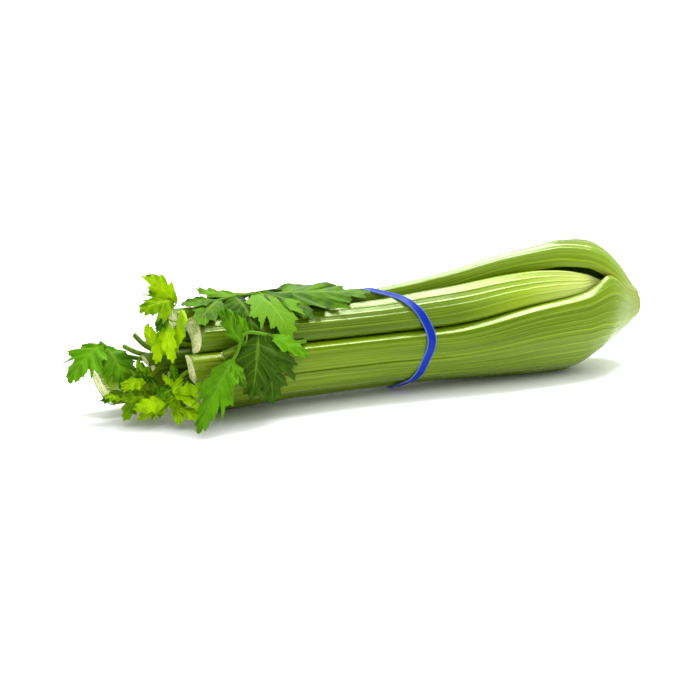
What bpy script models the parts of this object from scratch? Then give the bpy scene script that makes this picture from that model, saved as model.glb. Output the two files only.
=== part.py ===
"""A head of celery lying on its side: ribbed stalks grown round a root plate, leafy shoots at
the cut end, and a flat rubber band round the neck.

Sizes are in millimetres and become metres only when a mesh is made. +X runs towards the butt,
-Y is the front and +Z is up. The origin is the flat spot under the bulb that the head rests on.
A place along the head is its distance from the butt's cut, and a place round the head is an
angle about the head's axis: 0 faces the front, 90 is the top and -90 the underside.
"""
import math
from collections import namedtuple

import bmesh
import bpy
import numpy as np
from mathutils import Vector

MM = 0.001

# The whole head
BUTT_X = 80.0             # the butt's cut, ahead of the resting spot
AXIS_Z = 39.5             # height of the head's axis above the surface it lies on

# Outline of the bundle: distance from the butt, then its radius up, down and to the sides
OUTLINE_AT = (0, 8, 18, 30, 45, 67, 90, 120, 158, 198, 230, 275, 365, 415)
OUTLINE_UP = (14, 23, 35, 45.5, 54.5, 58.5, 55, 50.5, 43, 37, 34.2, 33.5, 35, 36)
OUTLINE_DOWN = (13.5, 17.5, 22.5, 28.5, 34.5, 40.8, 40.8, 39.2, 37.8, 37, 37, 37.5, 40.3, 40.3)
OUTLINE_SIDE = (14.5, 20, 27, 35, 41, 43, 44, 44, 40.5, 37, 35.5, 35.5, 38, 39)
# The head's axis climbs to the root: distance from the butt, rise
CLIMB_AT = (30, 45, 67)
CLIMB = (6, 3.5, 0)

# Wall thickness of a stalk along the head, and how its outer face rounds over
WALL_AT = (0, 8, 18, 30, 45, 67, 120, 158, 198, 275, 415)
WALL = (4, 6, 8, 9, 9.5, 10.5, 12, 13, 13.5, 13.5, 13)
# At their base the stalks thicken towards the root plate: distance from the butt, times the wall
BASE_AT = (20, 40)
BASE_THICKER = (2.6, 1.0)
ROUND_AT = (0, 75, 125, 195, 415)
ROUNDNESS = (3.2, 4.2, 3.6, 2.5, 2.3)
RIB_AT = (0, 30, 75, 195, 415)
RIB_RISE = (0.1, 0.4, 0.75, 0.6, 0.55)

# How far the front inner stalk sits back from the outline, where the bulb opens round it
SETBACK_AT = (0, 45, 57, 67, 90, 120, 158, 195)
SETBACK = (12.5, 12.5, 9.5, 7, 4.6, 3.4, 1.6, 0)

# The inner and heart stalks: their largest radius along the head, and their walls
INNER_AT = (39, 45, 67, 120, 158, 198, 415)
INNER_RADIUS = (12, 15, 23, 23.5, 22, 21, 22)
INNER_WALL = 8.6
HEART_AT = (43, 55, 95, 315, 365, 415)
HEART_RADIUS = (6, 8.5, 11, 9.5, 8.2, 6)
HEART_CORE = 1.0
LAYER_GAP = 0.6

# The root plate at the butt, turned: distance from the butt, radius
PLATE_OUTLINE = ((0, 0), (0, 9), (8, 11), (18, 13.5), (26, 14.5), (33, 10), (38, 0))
PLATE_GAP = 0.5

RIBS_OUTER, RIBS_INNER, RIBS_HEART = 7, 4, 3
STATIONS = (0, 5, 11, 18, 25, 32, 39, 46, 54, 64, 77, 92, 115, 148, 180, 215, 260, 315, 355, 385)
LAST_GAP = 12.0           # the least distance from a station to the stalk's cut

# Where a stalk's edge angles are given: distance from the butt
EDGE_AT = (18, 39, 52, 75, 105, 180)


def same(angle):
    """An edge that keeps its angle all along the head."""
    return (angle,) * len(EDGE_AT)


Stalk = namedtuple("Stalk", "name layer low high start end lean")
STALKS = (
    Stalk("stalk_top", "outer", (36.5, 51.5, 62.5, 69, 73, 74),
          (106, 108, 109, 110, 109, 104), 0, 334, (0.25, -0.20)),
    Stalk("stalk_front", "outer", (-17, -10, -4, -3, -5, -16.5),
          (33.5, 47.4, 41.3, 34.8, 30.3, 17.8), 0, 364, (0.10, 0.15)),
    Stalk("stalk_front_low", "outer", (-62, -60, -60, -60, -60, -62),
          (-19, -12, -6, -5, -7, -18.5), 0, 354, (0.15, -0.10)),
    Stalk("stalk_bottom", "outer", (-114, -115, -116, -117, -116, -112),
          (-64, -62, -62, -62, -62, -64), 0, 359, (-0.10, 0.10)),
    Stalk("stalk_back_low", "outer", (-160, -162, -163, -164, -163, -158),
          (-116, -117, -118, -119, -118, -114), 0, 410, (0.30, 0.20)),
    Stalk("stalk_back", "outer", (152, 151, 150.5, 150, 151, 158),
          (198, 196, 195, 194, 195, 200), 0, 367, (-0.20, 0.10)),
    Stalk("stalk_back_top", "outer", (108, 110, 111, 112, 111, 106),
          (150, 149, 148.5, 148, 149, 156), 0, 361, (0.15, 0.20)),
    Stalk("stalk_front_inner", "recessed", (47.3, 47.3, 42.5, 36, 31.5, 19.2),
          (50.4, 50.4, 59.5, 64, 69, 72.4), 41, 358, (0.30, -0.35)),
    Stalk("inner_front", "inner", same(-44), same(42), 42, 335, (0.1, 0.2)),
    Stalk("inner_top", "inner", same(46), same(132), 42, 346, (-0.2, 0.1)),
    Stalk("inner_back", "inner", same(136), same(222), 42, 376, (0.15, -0.1)),
    Stalk("inner_bottom", "inner", same(226), same(312), 42, 366, (0.1, 0.15)),
    Stalk("heart_front", "heart", same(-28), same(84), 45, 387, (0.4, 0.3)),
    Stalk("heart_back", "heart", same(92), same(204), 45, 329, (0.0, 0.0)),
    Stalk("heart_low", "heart", same(212), same(324), 45, 367, (-0.2, 0.2)),
)

# The rubber band: angle round the head, then its distance from the butt there
BAND_ROUND = (-180, -135, -90, -55, -22, 8, 30, 50, 62, 95, 135, 180)
BAND_AT = (211, 208, 205, 201, 194.5, 191, 195, 202.5, 208, 225, 220, 211)
BAND_WIDTH = 6.5
BAND_THICK = 1.0
BAND_GAP = 0.35
BAND_STEPS = 44

# Leaves
BLADE_THICK = 0.8
LEAF_CLEAR = 1.6          # how far a blade's middle stays off the bundle, and each layer of
LEAF_LAYER = 1.5          # blades off the one below
LEAF_LAYERS = 3
BLADE_FLOOR = 1.0         # the lowest a blade's middle goes
CUTS_DONE, CUTS_RUN = 373, 8     # past here no stalk is in a blade's way, and over what run that comes
STEM_SIDES = 1            # bevel resolution: six sides
WELD = 0.002              # points this near each other are one
# Half a lobed leaflet: where each vein leaves the midrib, its length, its angle from the midrib
LOBED = (
    (0.00, 0.030, 90), (0.10, 0.16, 84), (0.15, 0.34, 76), (0.19, 0.30, 66), (0.24, 0.50, 58),
    (0.29, 0.40, 50), (0.34, 0.54, 42), (0.40, 0.24, 46), (0.52, 0.33, 42), (0.60, 0.23, 36),
    (0.68, 0.28, 28), (0.78, 0.15, 24), (0.85, 0.14, 16), (1.00, 0.0, 0),
)
TOOTHED = (
    (0.00, 0.035, 90), (0.14, 0.18, 74), (0.22, 0.34, 60), (0.32, 0.25, 52), (0.42, 0.36, 42),
    (0.54, 0.24, 38), (0.64, 0.29, 28), (0.78, 0.15, 24), (0.86, 0.13, 16), (1.00, 0.0, 0),
)

Blade = namedtuple("Blade", "base tip normal width bow fold wave form", defaults=(LOBED,))
Spray = namedtuple("Spray", "name colour stem_radius stem blades")

DARK_LEAF = (0.09, 0.26, 0.03, 1.0)
MID_LEAF = (0.15, 0.36, 0.04, 1.0)
BRIGHT_LEAF = (0.33, 0.55, 0.02, 1.0)
STALK_GREEN = (0.25, 0.40, 0.03, 1.0)
INNER_GREEN = (0.42, 0.55, 0.12, 1.0)
PLATE_CREAM = (0.66, 0.58, 0.36, 1.0)
BAND_BLUE = (0.02, 0.09, 0.55, 1.0)


def curve_through(at, values, place):
    """A smooth curve through the points of an outline that never overshoots them."""
    at, values = np.asarray(at, float), np.asarray(values, float)
    place = min(max(place, at[0]), at[-1])
    step = np.diff(at)
    slope = np.diff(values) / step
    tangent = np.zeros(len(at))
    for i in range(1, len(at) - 1):
        if slope[i - 1] * slope[i] > 0:
            tangent[i] = 2 * slope[i - 1] * slope[i] / (slope[i - 1] + slope[i])
    i = min(int(np.searchsorted(at, place, side="right")) - 1, len(step) - 1)
    t = (place - at[i]) / step[i]
    return (
        values[i] * (2 * t**3 - 3 * t**2 + 1)
        + values[i + 1] * (3 * t**2 - 2 * t**3)
        + step[i] * (tangent[i] * (t**3 - 2 * t**2 + t) + tangent[i + 1] * (t**3 - t**2))
    )


def outline_radius(place, angle):
    """Radius of the whole bundle at an angle, in degrees."""
    side = curve_through(OUTLINE_AT, OUTLINE_SIDE, place)
    across, upright = math.cos(math.radians(angle)), math.sin(math.radians(angle))
    height = curve_through(OUTLINE_AT, OUTLINE_UP if upright > 0 else OUTLINE_DOWN, place)
    return 1 / math.hypot(across / side, upright / height)


def plate_radius(place):
    """Radius of the root plate, or zero past its end."""
    at = [p[0] for p in PLATE_OUTLINE[1:]]
    radius = [p[1] for p in PLATE_OUTLINE[1:]]
    return float(np.interp(place, at, radius)) if place < at[-1] else 0.0


def layer_faces(layer, place, angle):
    """Outer crest, margin and inner face of a stalk of this layer, as radii."""
    full = outline_radius(place, angle)
    wall = curve_through(WALL_AT, WALL, place)
    floor = plate_radius(place) + PLATE_GAP
    if layer == "outer":
        inner = max(full - wall * curve_through(BASE_AT, BASE_THICKER, place), floor)
        return full, full - 0.62 * min(full - inner, wall), inner
    setback = curve_through(SETBACK_AT, SETBACK, place)
    if layer == "recessed":
        crest = full - setback
        inner = max(crest - 0.92 * wall, floor)
        return crest, crest - 0.62 * (crest - inner), inner
    inner_crest = min(curve_through(INNER_AT, INNER_RADIUS, place), full - wall - setback - LAYER_GAP)
    if layer == "inner":
        inner = inner_crest - INNER_WALL * min(1.0, inner_crest / 20)
        return inner_crest, 0.5 * (inner_crest + inner), inner
    most = inner_crest - INNER_WALL - LAYER_GAP
    crest = min(curve_through(HEART_AT, HEART_RADIUS, place), max(most, 5.0))
    return crest, 0.55 * crest, HEART_CORE


def edges(stalk, place):
    """The stalk's two edge angles at this distance from the butt."""
    return curve_through(EDGE_AT, stalk.low, place), curve_through(EDGE_AT, stalk.high, place)


def rib_count(layer):
    return {"inner": RIBS_INNER, "heart": RIBS_HEART}.get(layer, RIBS_OUTER)


def on_section(radius, angle):
    """A point (y, z) of a section."""
    turn = math.radians(angle)
    return -radius * math.cos(turn), AXIS_Z + radius * math.sin(turn)


def stalk_section(stalk, place):
    """The outline of a stalk's cross-section: its ribbed outer face, then its hollowed inner face."""
    low, high = edges(stalk, place)
    roundness = curve_through(ROUND_AT, ROUNDNESS, place)
    rise = curve_through(RIB_AT, RIB_RISE, place)
    ribs = rib_count(stalk.layer)
    points = []
    steps = 2 * ribs
    for k in range(steps + 1):
        u = 2 * k / steps - 1
        angle = low + (high - low) * (u + 1) / 2
        crest, margin, _ = layer_faces(stalk.layer, place, angle)
        swell = (1 - abs(u) ** roundness) ** (1 / roundness)
        groove = rise * (1 - abs(u)) ** 0.3 if k % 2 == 0 else 0.0
        points.append(on_section(margin + (crest - margin) * swell - groove, angle))
    inside = max(4, ribs)
    for k in range(1, inside):
        u = 1 - 2 * k / inside
        angle = low + (high - low) * (u + 1) / 2
        _, margin, inner = layer_faces(stalk.layer, place, angle)
        hollow = 0.16 * (margin - inner) * (1 - u * u)
        swell = (1 - abs(u) ** 5) ** 0.2
        points.append(on_section(margin - (margin - inner) * swell + hollow, angle))
    return points


def material(name, colour, roughness, metallic=0.0):
    made = bpy.data.materials.get(name) or bpy.data.materials.new(name)
    made.use_nodes = True
    shader = made.node_tree.nodes["Principled BSDF"]
    shader.inputs["Base Color"].default_value = colour
    shader.inputs["Roughness"].default_value = roughness
    shader.inputs["Metallic"].default_value = metallic
    return made


def object_of(name, points, faces, collection, finish):
    """An object from points in millimetres."""
    mesh = bpy.data.meshes.new(name)
    mesh.from_pydata([Vector(p) * MM for p in points], [], faces)
    mesh.materials.append(finish)
    made = bpy.data.objects.new(name, mesh)
    collection.objects.link(made)
    return made


def outward(made):
    """Points the faces of a closed mesh outwards and splits them into triangles."""
    work = bmesh.new()
    work.from_mesh(made.data)
    bmesh.ops.recalc_face_normals(work, faces=work.faces)
    bmesh.ops.triangulate(work, faces=work.faces)
    work.to_mesh(made.data)
    work.free()


def loft(name, rings, collection, finish, closed_ends=True):
    """A solid through rings with equal numbers of points. With closed_ends false it joins end to end."""
    count = len(rings[0])
    points = [p for ring in rings for p in ring]
    last = len(rings) - 1 if closed_ends else len(rings)
    faces = []
    for i in range(last):
        here, there = i * count, (i + 1) % len(rings) * count
        for k in range(count):
            after = (k + 1) % count
            faces.append((here + k, here + after, there + after, there + k))
    if closed_ends:
        faces.append(tuple(range(count))[::-1])
        faces.append(tuple(range((len(rings) - 1) * count, len(rings) * count)))
    made = object_of(name, points, faces, collection, finish)
    outward(made)
    return made


def build_stalk(stalk, collection):
    inside = [s for s in STATIONS if stalk.start + 3 < s < stalk.end - LAST_GAP]
    rings = []
    for place in (stalk.start, *inside, stalk.end):
        section = stalk_section(stalk, place)
        middle_y, middle_z = (sum(p[k] for p in section) / len(section) for k in (0, 1))
        climb = curve_through(CLIMB_AT, CLIMB, place)
        ring = []
        for y, z in section:
            slant = stalk.lean[0] * (y - middle_y) + stalk.lean[1] * (z - middle_z)
            ring.append((BUTT_X - place - (slant if place == stalk.end else 0.0), y, max(z + climb, 0.0)))
        rings.append(ring)
    is_outer = stalk.layer == "outer"
    finish = material("stalk_green", STALK_GREEN, 0.35) if is_outer else material("inner_green", INNER_GREEN, 0.4)
    made = loft(stalk.name, rings, collection, finish)
    made.data.shade_smooth()
    made.data.set_sharp_from_angle(angle=math.radians(50))
    return made


def build_root_plate(collection):
    """The trimmed root plate: a turned profile."""
    mesh = bpy.data.meshes.new("root_plate")
    outline = [Vector((radius, 0, -place)) * MM for place, radius in PLATE_OUTLINE]
    mesh.from_pydata(outline, [(i, i + 1) for i in range(len(outline) - 1)], [])
    mesh.materials.append(material("root_cream", PLATE_CREAM, 0.6))
    made = bpy.data.objects.new("root_plate", mesh)
    collection.objects.link(made)
    turned = made.modifiers.new("turn", "SCREW")
    turned.steps = turned.render_steps = 24
    turned.use_merge_vertices = True
    turned.merge_threshold = 0.00001
    turned.use_normal_calculate = True
    made.rotation_euler = (0, math.radians(90), 0)
    made.location = Vector((BUTT_X, 0, AXIS_Z + CLIMB[0])) * MM
    return made


def convex_ring(place):
    """The convex outline round the outer stalks at this distance from the butt, as (y, z) points."""
    after = next(s for s in STATIONS if s > place)
    before = STATIONS[STATIONS.index(after) - 1]
    share = (place - before) / (after - before)
    points = []
    for stalk in STALKS:
        if stalk.layer in ("outer", "recessed"):
            for (y0, z0), (y1, z1) in zip(stalk_section(stalk, before), stalk_section(stalk, after)):
                points.append((y0 + (y1 - y0) * share, z0 + (z1 - z0) * share))
    points.sort()

    def half(run):
        chain = []
        for p in run:
            while len(chain) > 1 and (
                (chain[-1][0] - chain[-2][0]) * (p[1] - chain[-2][1])
                - (chain[-1][1] - chain[-2][1]) * (p[0] - chain[-2][0])
            ) <= 0:
                chain.pop()
            chain.append(p)
        return chain[:-1]

    return half(points) + half(points[::-1])


def stretched_radius(place, angle):
    """Radius of the convex outline at an angle: where a stretched band lies."""
    ring = convex_ring(place)
    turn = math.radians(angle)
    dy, dz = -math.cos(turn), math.sin(turn)
    best = 0.0
    for (y0, z0), (y1, z1) in zip(ring, ring[1:] + ring[:1]):
        ey, ez = y1 - y0, z1 - z0
        det = dz * ey - dy * ez
        if abs(det) < 1e-9:
            continue
        reach = ((z0 - AXIS_Z) * ey - y0 * ez) / det
        share = (dy * (z0 - AXIS_Z) - dz * y0) / det
        if reach > best and -1e-9 <= share <= 1 + 1e-9:
            best = reach
    return best


def build_band(collection):
    """A flat rubber band that lies on the convex outline and wanders along the neck."""
    rings = []
    for k in range(BAND_STEPS):
        angle = 360 * k / BAND_STEPS - 180
        middle = curve_through(BAND_ROUND, BAND_AT, angle)
        ring = []
        for side, out in ((-1, 0), (1, 0), (1, 1), (-1, 1)):
            place = middle + side * BAND_WIDTH / 2
            radius = max(stretched_radius(place, angle + share * 180 / BAND_STEPS) for share in (-1, 0, 1))
            y, z = on_section(radius + BAND_GAP + out * BAND_THICK, angle)
            ring.append((BUTT_X - place, y, z))
        rings.append(ring)
    return loft("rubber_band", rings, collection, material("band_blue", BAND_BLUE, 0.45), False)


def pushed_out(point, clear):
    """Moves a point of a leaf off the bundle, where it would lie inside it."""
    x, y, z = point
    place = BUTT_X - x
    angle = math.degrees(math.atan2(z - AXIS_Z, -y))
    radius = math.hypot(y, z - AXIS_Z)
    covered = min(max((CUTS_DONE - place) / CUTS_RUN, 0.0), 1.0)
    least = (outline_radius(place, angle) + clear) * covered
    if radius < least:
        y, z = on_section(least, angle)
    return x, y, max(z, BLADE_FLOOR)


def along_stem(stem, place):
    """A point of a stem: 3.5 is halfway from its fourth point to its fifth."""
    first = min(int(place), len(stem) - 2)
    return Vector(stem[first]).lerp(Vector(stem[first + 1]), place - first)


def build_blade(name, blade, layer, stem, collection, finish):
    """A leaflet: an open surface of slanting veins, waved and arched, with thickness."""
    base, tip = along_stem(stem, blade.base), Vector(blade.tip)
    length = (tip - base).length
    along = (tip - base).normalized()
    across = Vector(blade.normal).cross(along).normalized()
    face = along.cross(across)
    points, faces = [], []
    for j, (start, reach, turn) in enumerate(blade.form):
        turn = math.radians(turn)
        for side in (-1, 0, 1):
            x = (start + abs(side) * reach * math.cos(turn)) * length
            y = side * reach * math.sin(turn) * length * blade.width
            share = min(x / length, 1.0)
            height = 4 * blade.bow * share * (1 - share) * length - blade.fold * abs(y)
            height += blade.wave * abs(side) * math.sin(2.4 * j + 1.3 * side)
            point = base + along * x + across * y + face * height
            points.append(pushed_out(point, LEAF_CLEAR + layer * LEAF_LAYER) if j else point)
    for j in range(len(blade.form) - 2):
        here, there = 3 * j, 3 * j + 3
        for k in (0, 1):
            faces.append((here + k, here + k + 1, there + k + 1, there + k))
    last, end = 3 * (len(blade.form) - 2), 3 * (len(blade.form) - 1)
    points = points[:end] + [points[end + 1]]
    faces += [(last, last + 1, end), (last + 1, last + 2, end)]
    made = object_of(name, points, faces, collection, finish)
    work = bmesh.new()
    work.from_mesh(made.data)
    bmesh.ops.triangulate(work, faces=work.faces)
    work.to_mesh(made.data)
    work.free()
    thick = made.modifiers.new("thickness", "SOLIDIFY")
    thick.thickness = BLADE_THICK * MM
    thick.offset = 0
    thick.use_even_offset = False
    return made


def drop_scraps(work):
    """Keeps only the largest connected body of a mesh."""
    bodies, seen = [], set()
    for start in work.verts:
        if start in seen:
            continue
        seen.add(start)
        body = [start]
        for point in body:
            for edge in point.link_edges:
                other = edge.other_vert(point)
                if other not in seen:
                    seen.add(other)
                    body.append(other)
        bodies.append(body)
    bodies.sort(key=len)
    bmesh.ops.delete(work, geom=[p for body in bodies[:-1] for p in body], context="VERTS")


def as_mesh(made, collection):
    """The evaluated object as a plain mesh, its caps welded, in place of the object."""
    graph = bpy.context.evaluated_depsgraph_get()
    mesh = bpy.data.meshes.new_from_object(made.evaluated_get(graph))
    work = bmesh.new()
    work.from_mesh(mesh)
    bmesh.ops.remove_doubles(work, verts=work.verts, dist=WELD * MM)
    drop_scraps(work)
    bmesh.ops.recalc_face_normals(work, faces=work.faces)
    bmesh.ops.triangulate(work, faces=work.faces)
    work.to_mesh(mesh)
    work.free()
    name = made.name
    plain = bpy.data.objects.new(name, mesh)
    plain.matrix_world = made.matrix_world
    collection.objects.link(plain)
    bpy.data.objects.remove(made)
    plain.name = name
    return plain


def build_stem(spray, collection, finish):
    """The round stem of a shoot, through its points."""
    data = bpy.data.curves.new(spray.name, "CURVE")
    data.dimensions = "3D"
    data.bevel_depth = spray.stem_radius * MM
    data.bevel_resolution = STEM_SIDES
    data.use_fill_caps = True
    data.materials.append(finish)
    line = data.splines.new("POLY")
    line.points.add(len(spray.stem) - 1)
    for point, place in zip(line.points, spray.stem):
        point.co = (*(Vector(place) * MM), 1)
    made = bpy.data.objects.new(spray.name, data)
    collection.objects.link(made)
    return as_mesh(made, collection)


def build_spray(spray, collection):
    """A leafy shoot: its stem and leaflets, joined in one solid."""
    finish = material(spray.name + "_green", spray.colour, 0.5)
    first = build_stem(spray, collection, finish)
    if not spray.blades:
        return first
    joined = bpy.data.collections.new("join_" + spray.name)
    bpy.context.scene.collection.children.link(joined)
    for k, blade in enumerate(spray.blades):
        made = build_blade(f"{spray.name}_blade_{k}", blade, k % LEAF_LAYERS, spray.stem, joined, finish)
        as_mesh(made, joined)
    union = first.modifiers.new("join", "BOOLEAN")
    union.operation = "UNION"
    union.operand_type = "COLLECTION"
    union.collection = joined
    union.solver = "EXACT"
    bpy.context.view_layer.update()
    made = as_mesh(first, collection)
    for part in list(joined.objects):
        bpy.data.objects.remove(part)
    bpy.data.collections.remove(joined)
    return made


def on_bundle(place, angle, out):
    """A point this far outside the bundle's outline."""
    return (BUTT_X - place, *on_section(outline_radius(place, angle) + out, angle))


def in_heart(place, angle, radius=7.6):
    """A point among the cut ends, this far from the head's axis."""
    return (BUTT_X - place, *on_section(radius, angle))


# A blade's base is a place along its shoot's stem: 3.5 is halfway from the fourth point to the fifth
SPRAYS = (
    Spray("leaf_top", DARK_LEAF, 1.5,
          (on_bundle(263, 105, -3.2), on_bundle(277, 105, -2.6), on_bundle(288, 103, 0.5),
           (-220, 3, 77), (-238, 1, 78), (-252, -2, 77), (-262, -4, 76)),
          (Blade(3.1, (-145, -8, 72), (0, -0.2, 1), 0.72, 0.03, 0.15, 0.8),
           Blade(3.2, (-196, -25, 61), (0.2, -0.5, 0.8), 0.9, 0.16, 0.1, 1.0, TOOTHED),
           Blade(3.4, (-216, -36, 53), (0.1, -0.7, 0.7), 1.0, 0.16, 0.1, 1.0),
           Blade(3.2, (-200, 35, 60), (0.2, 0.6, 0.8), 0.95, 0.15, 0.1, 1.0),
           Blade(3.8, (-244, 35, 62), (0, 0.6, 0.8), 1.0, 0.15, 0.1, 1.0),
           Blade(4.0, (-267, 8, 84), (0.2, -0.5, 0.9), 0.8, -0.05, 0.25, 0.8, TOOTHED),
           Blade(4.3, (-240, -33, 58), (0, -0.6, 0.8), 1.0, 0.15, 0.2, 0.7),
           Blade(5.2, (-278, -24, 64), (-0.1, -0.6, 0.8), 1.0, 0.12, 0.2, 0.7, TOOTHED),
           Blade(5.7, (-283, -9, 74), (0, -0.5, 0.8), 1.0, 0.1, 0.2, 0.7, TOOTHED),
           Blade(5.4, (-270, 24, 70), (0, 0.5, 0.8), 1.0, 0.1, 0.2, 0.7, TOOTHED))),
    Spray("leaf_front", MID_LEAF, 1.4,
          (on_bundle(283, 18.5, -2.6), on_bundle(295, 18.5, -2.2), on_bundle(307, 24, 2.5),
           (-236, -40, 60), (-250, -41, 62), (-258, -46, 50), (-268, -49, 40)),
          (Blade(2.6, (-206, -43, 42), (0.2, -0.9, 0.5), 0.7, 0.1, 0.1, 0.6, TOOTHED),
           Blade(3.0, (-233, -46, 14), (0.1, -1, 0.1), 1.1, 0.05, 0.1, 1.0),
           Blade(3.3, (-250, -51, 20), (-0.1, -1, 0.1), 0.95, 0.08, 0.1, 1.0),
           Blade(3.8, (-260, -30, 77), (-0.3, -0.9, 0.2), 0.8, 0.1, 0.3, 1.0, TOOTHED),
           Blade(5.2, (-289, -57, 4), (-0.5, -0.8, 0.3), 0.55, 0.08, 0.35, 1.2),
           Blade(5.4, (-255, -54, 29), (0.2, -0.9, 0.3), 0.9, 0.08, 0.25, 0.8, TOOTHED))),
    Spray("leaf_upper_left", BRIGHT_LEAF, 1.9,
          (in_heart(335, 102), in_heart(355, 102), (-289, -2, 55), (-293, -4, 65), (-289, -6, 76)),
          (Blade(3.8, (-300, -4, 99), (-0.5, -0.8, 0.1), 1.05, 0.06, 0.15, 0.8),
           Blade(3.6, (-312, -13, 77), (-0.2, -0.8, 0.5), 1.0, 0.1, 0.2, 0.8),
           Blade(3.35, (-302, -17, 63), (-0.5, -0.8, 0.3), 0.9, 0.1, 0.2, 0.8, TOOTHED),
           Blade(3.15, (-295, -28, 44), (-0.4, -0.8, 0.4), 0.6, 0.12, 0.2, 0.8, TOOTHED),
           Blade(2.7, (-303, -15, 41), (-0.5, -0.85, 0.1), 0.8, 0.1, 0.2, 0.8, TOOTHED),
           Blade(3.7, (-283, 21, 80), (-0.3, 0.2, 0.9), 0.9, 0.1, 0.2, 0.8, TOOTHED))),
    Spray("leaf_left", MID_LEAF, 1.8,
          (in_heart(335, 162), in_heart(360, 162), (-300, 12, 37.5), (-322, 12, 44), (-333, 12, 52.5)),
          (Blade(3.85, (-357, 3, 30), (-0.6, -0.6, 0.5), 1.0, 0.1, 0.15, 0.8),
           Blade(3.6, (-318, 2, 25), (0.3, -0.9, 0.3), 0.9, 0.14, 0.15, 0.8),
           Blade(3.0, (-340, 38, 42), (-0.3, 0.5, 0.8), 0.85, 0.12, 0.2, 0.7, TOOTHED))),
    Spray("leaf_low", BRIGHT_LEAF, 1.8,
          (in_heart(335, 192), in_heart(365, 195), (-298, 3, 31), (-307, 0, 24), (-312, -2, 16)),
          (Blade(3.7, (-337, 2, 15), (-0.1, -0.4, 0.9), 1.0, 0.06, 0.1, 0.8, TOOTHED),
           Blade(3.4, (-305, -16, 4), (0.1, -0.7, 0.7), 1.0, 0.08, 0.1, 0.8, TOOTHED),
           Blade(3.0, (-314, -13, 38), (-0.3, -0.9, 0.2), 1.0, 0.08, 0.1, 0.8, TOOTHED),
           Blade(3.8, (-326, -16, 5), (-0.2, -0.5, 0.8), 0.9, 0.08, 0.1, 0.8, TOOTHED),
           Blade(2.5, (-297, -10, 10), (0.2, -0.8, 0.5), 0.9, 0.08, 0.1, 0.8, TOOTHED))),
    Spray("leaf_low_front", BRIGHT_LEAF, 1.6,
          (in_heart(341, -16, 16), in_heart(360, -18, 17), (-290, -19, 28), (-292, -21, 18)),
          (Blade(2.7, (-318, -21, 6), (-0.1, -0.6, 0.8), 0.62, 0.08, 0.15, 0.8),
           Blade(2.8, (-295, -36, 4), (0, -0.7, 0.7), 0.9, 0.08, 0.1, 0.8, TOOTHED),
           Blade(2.2, (-293, -20, 42), (-0.6, -0.7, 0.2), 0.8, 0.08, 0.1, 0.8, TOOTHED),
           Blade(2.7, (-285, -47, 16), (0.1, -0.7, 0.7), 0.75, 0.1, 0.05, 0.5, TOOTHED),
           Blade(2.3, (-307, -28, 22), (-0.3, -0.8, 0.3), 0.9, 0.08, 0.1, 0.8, TOOTHED))),
    Spray("thin_stem_upper", INNER_GREEN, 1.9,
          (in_heart(335, 132), in_heart(353, 132), in_heart(379, 128, 8.5), (-309, 14, 55)), ()),
    Spray("thin_stem_left", INNER_GREEN, 1.7,
          (in_heart(335, 150, 2.9), in_heart(381, 130, 4), (-319, 7, 50)), ()),
    Spray("side_stub", INNER_GREEN, 3.3,
          (on_bundle(327, 20, 3.9), on_bundle(345, 12, 4.4)), ()),
    Spray("leaf_back", DARK_LEAF, 1.4,
          (on_bundle(277, 157.5, -2.6), on_bundle(291, 157.5, -2.0), on_bundle(303, 156, 2.0),
           on_bundle(319, 155, 4), on_bundle(333, 154, 4)),
          (Blade(2.4, (-222, 42, 22), (0, 1, 0.2), 1.0, 0.06, 0.15, 0.9),
           Blade(2.8, (-262, 46, 8), (0, 1, 0.2), 1.0, 0.06, 0.15, 0.9, TOOTHED),
           Blade(3.7, (-290, 44, 36), (0, 1, 0.3), 1.0, 0.06, 0.15, 0.9, TOOTHED))),
)


def build():
    for old in list(bpy.data.objects):
        bpy.data.objects.remove(old, do_unlink=True)
    celery = bpy.data.collections.new("celery_head")
    bpy.context.scene.collection.children.link(celery)
    build_root_plate(celery)
    for stalk in STALKS:
        build_stalk(stalk, celery)
    build_band(celery)
    for spray in SPRAYS:
        build_spray(spray, celery)


build()
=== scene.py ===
"""The looks of a head of celery that lies on its side: ribbed waxy stalks, pale fibrous cuts,
veined leaflets and a flat blue rubber band.

Sizes are in millimetres until a mesh is made. +X runs towards the butt, -Y is the front and +Z
is up. A place along the head is its distance from the butt's cut, and a place round the head is
an angle about the head's axis: 0 faces the front, 90 is the top and -90 the underside.
"""
import math
from collections import namedtuple

import bmesh
import bpy
import numpy as np
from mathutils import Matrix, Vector


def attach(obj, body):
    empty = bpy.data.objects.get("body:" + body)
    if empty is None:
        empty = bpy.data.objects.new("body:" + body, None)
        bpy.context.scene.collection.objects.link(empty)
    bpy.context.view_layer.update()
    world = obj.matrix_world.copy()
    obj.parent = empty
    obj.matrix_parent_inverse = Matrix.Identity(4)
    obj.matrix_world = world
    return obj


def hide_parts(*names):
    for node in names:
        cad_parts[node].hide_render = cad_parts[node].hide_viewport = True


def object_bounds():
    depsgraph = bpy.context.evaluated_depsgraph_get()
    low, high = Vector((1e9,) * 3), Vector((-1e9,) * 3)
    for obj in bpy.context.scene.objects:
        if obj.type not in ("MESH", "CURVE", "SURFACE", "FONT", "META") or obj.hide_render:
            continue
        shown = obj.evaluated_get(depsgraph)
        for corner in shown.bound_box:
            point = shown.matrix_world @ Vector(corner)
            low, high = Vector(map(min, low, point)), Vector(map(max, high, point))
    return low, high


MM = 0.001

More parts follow.
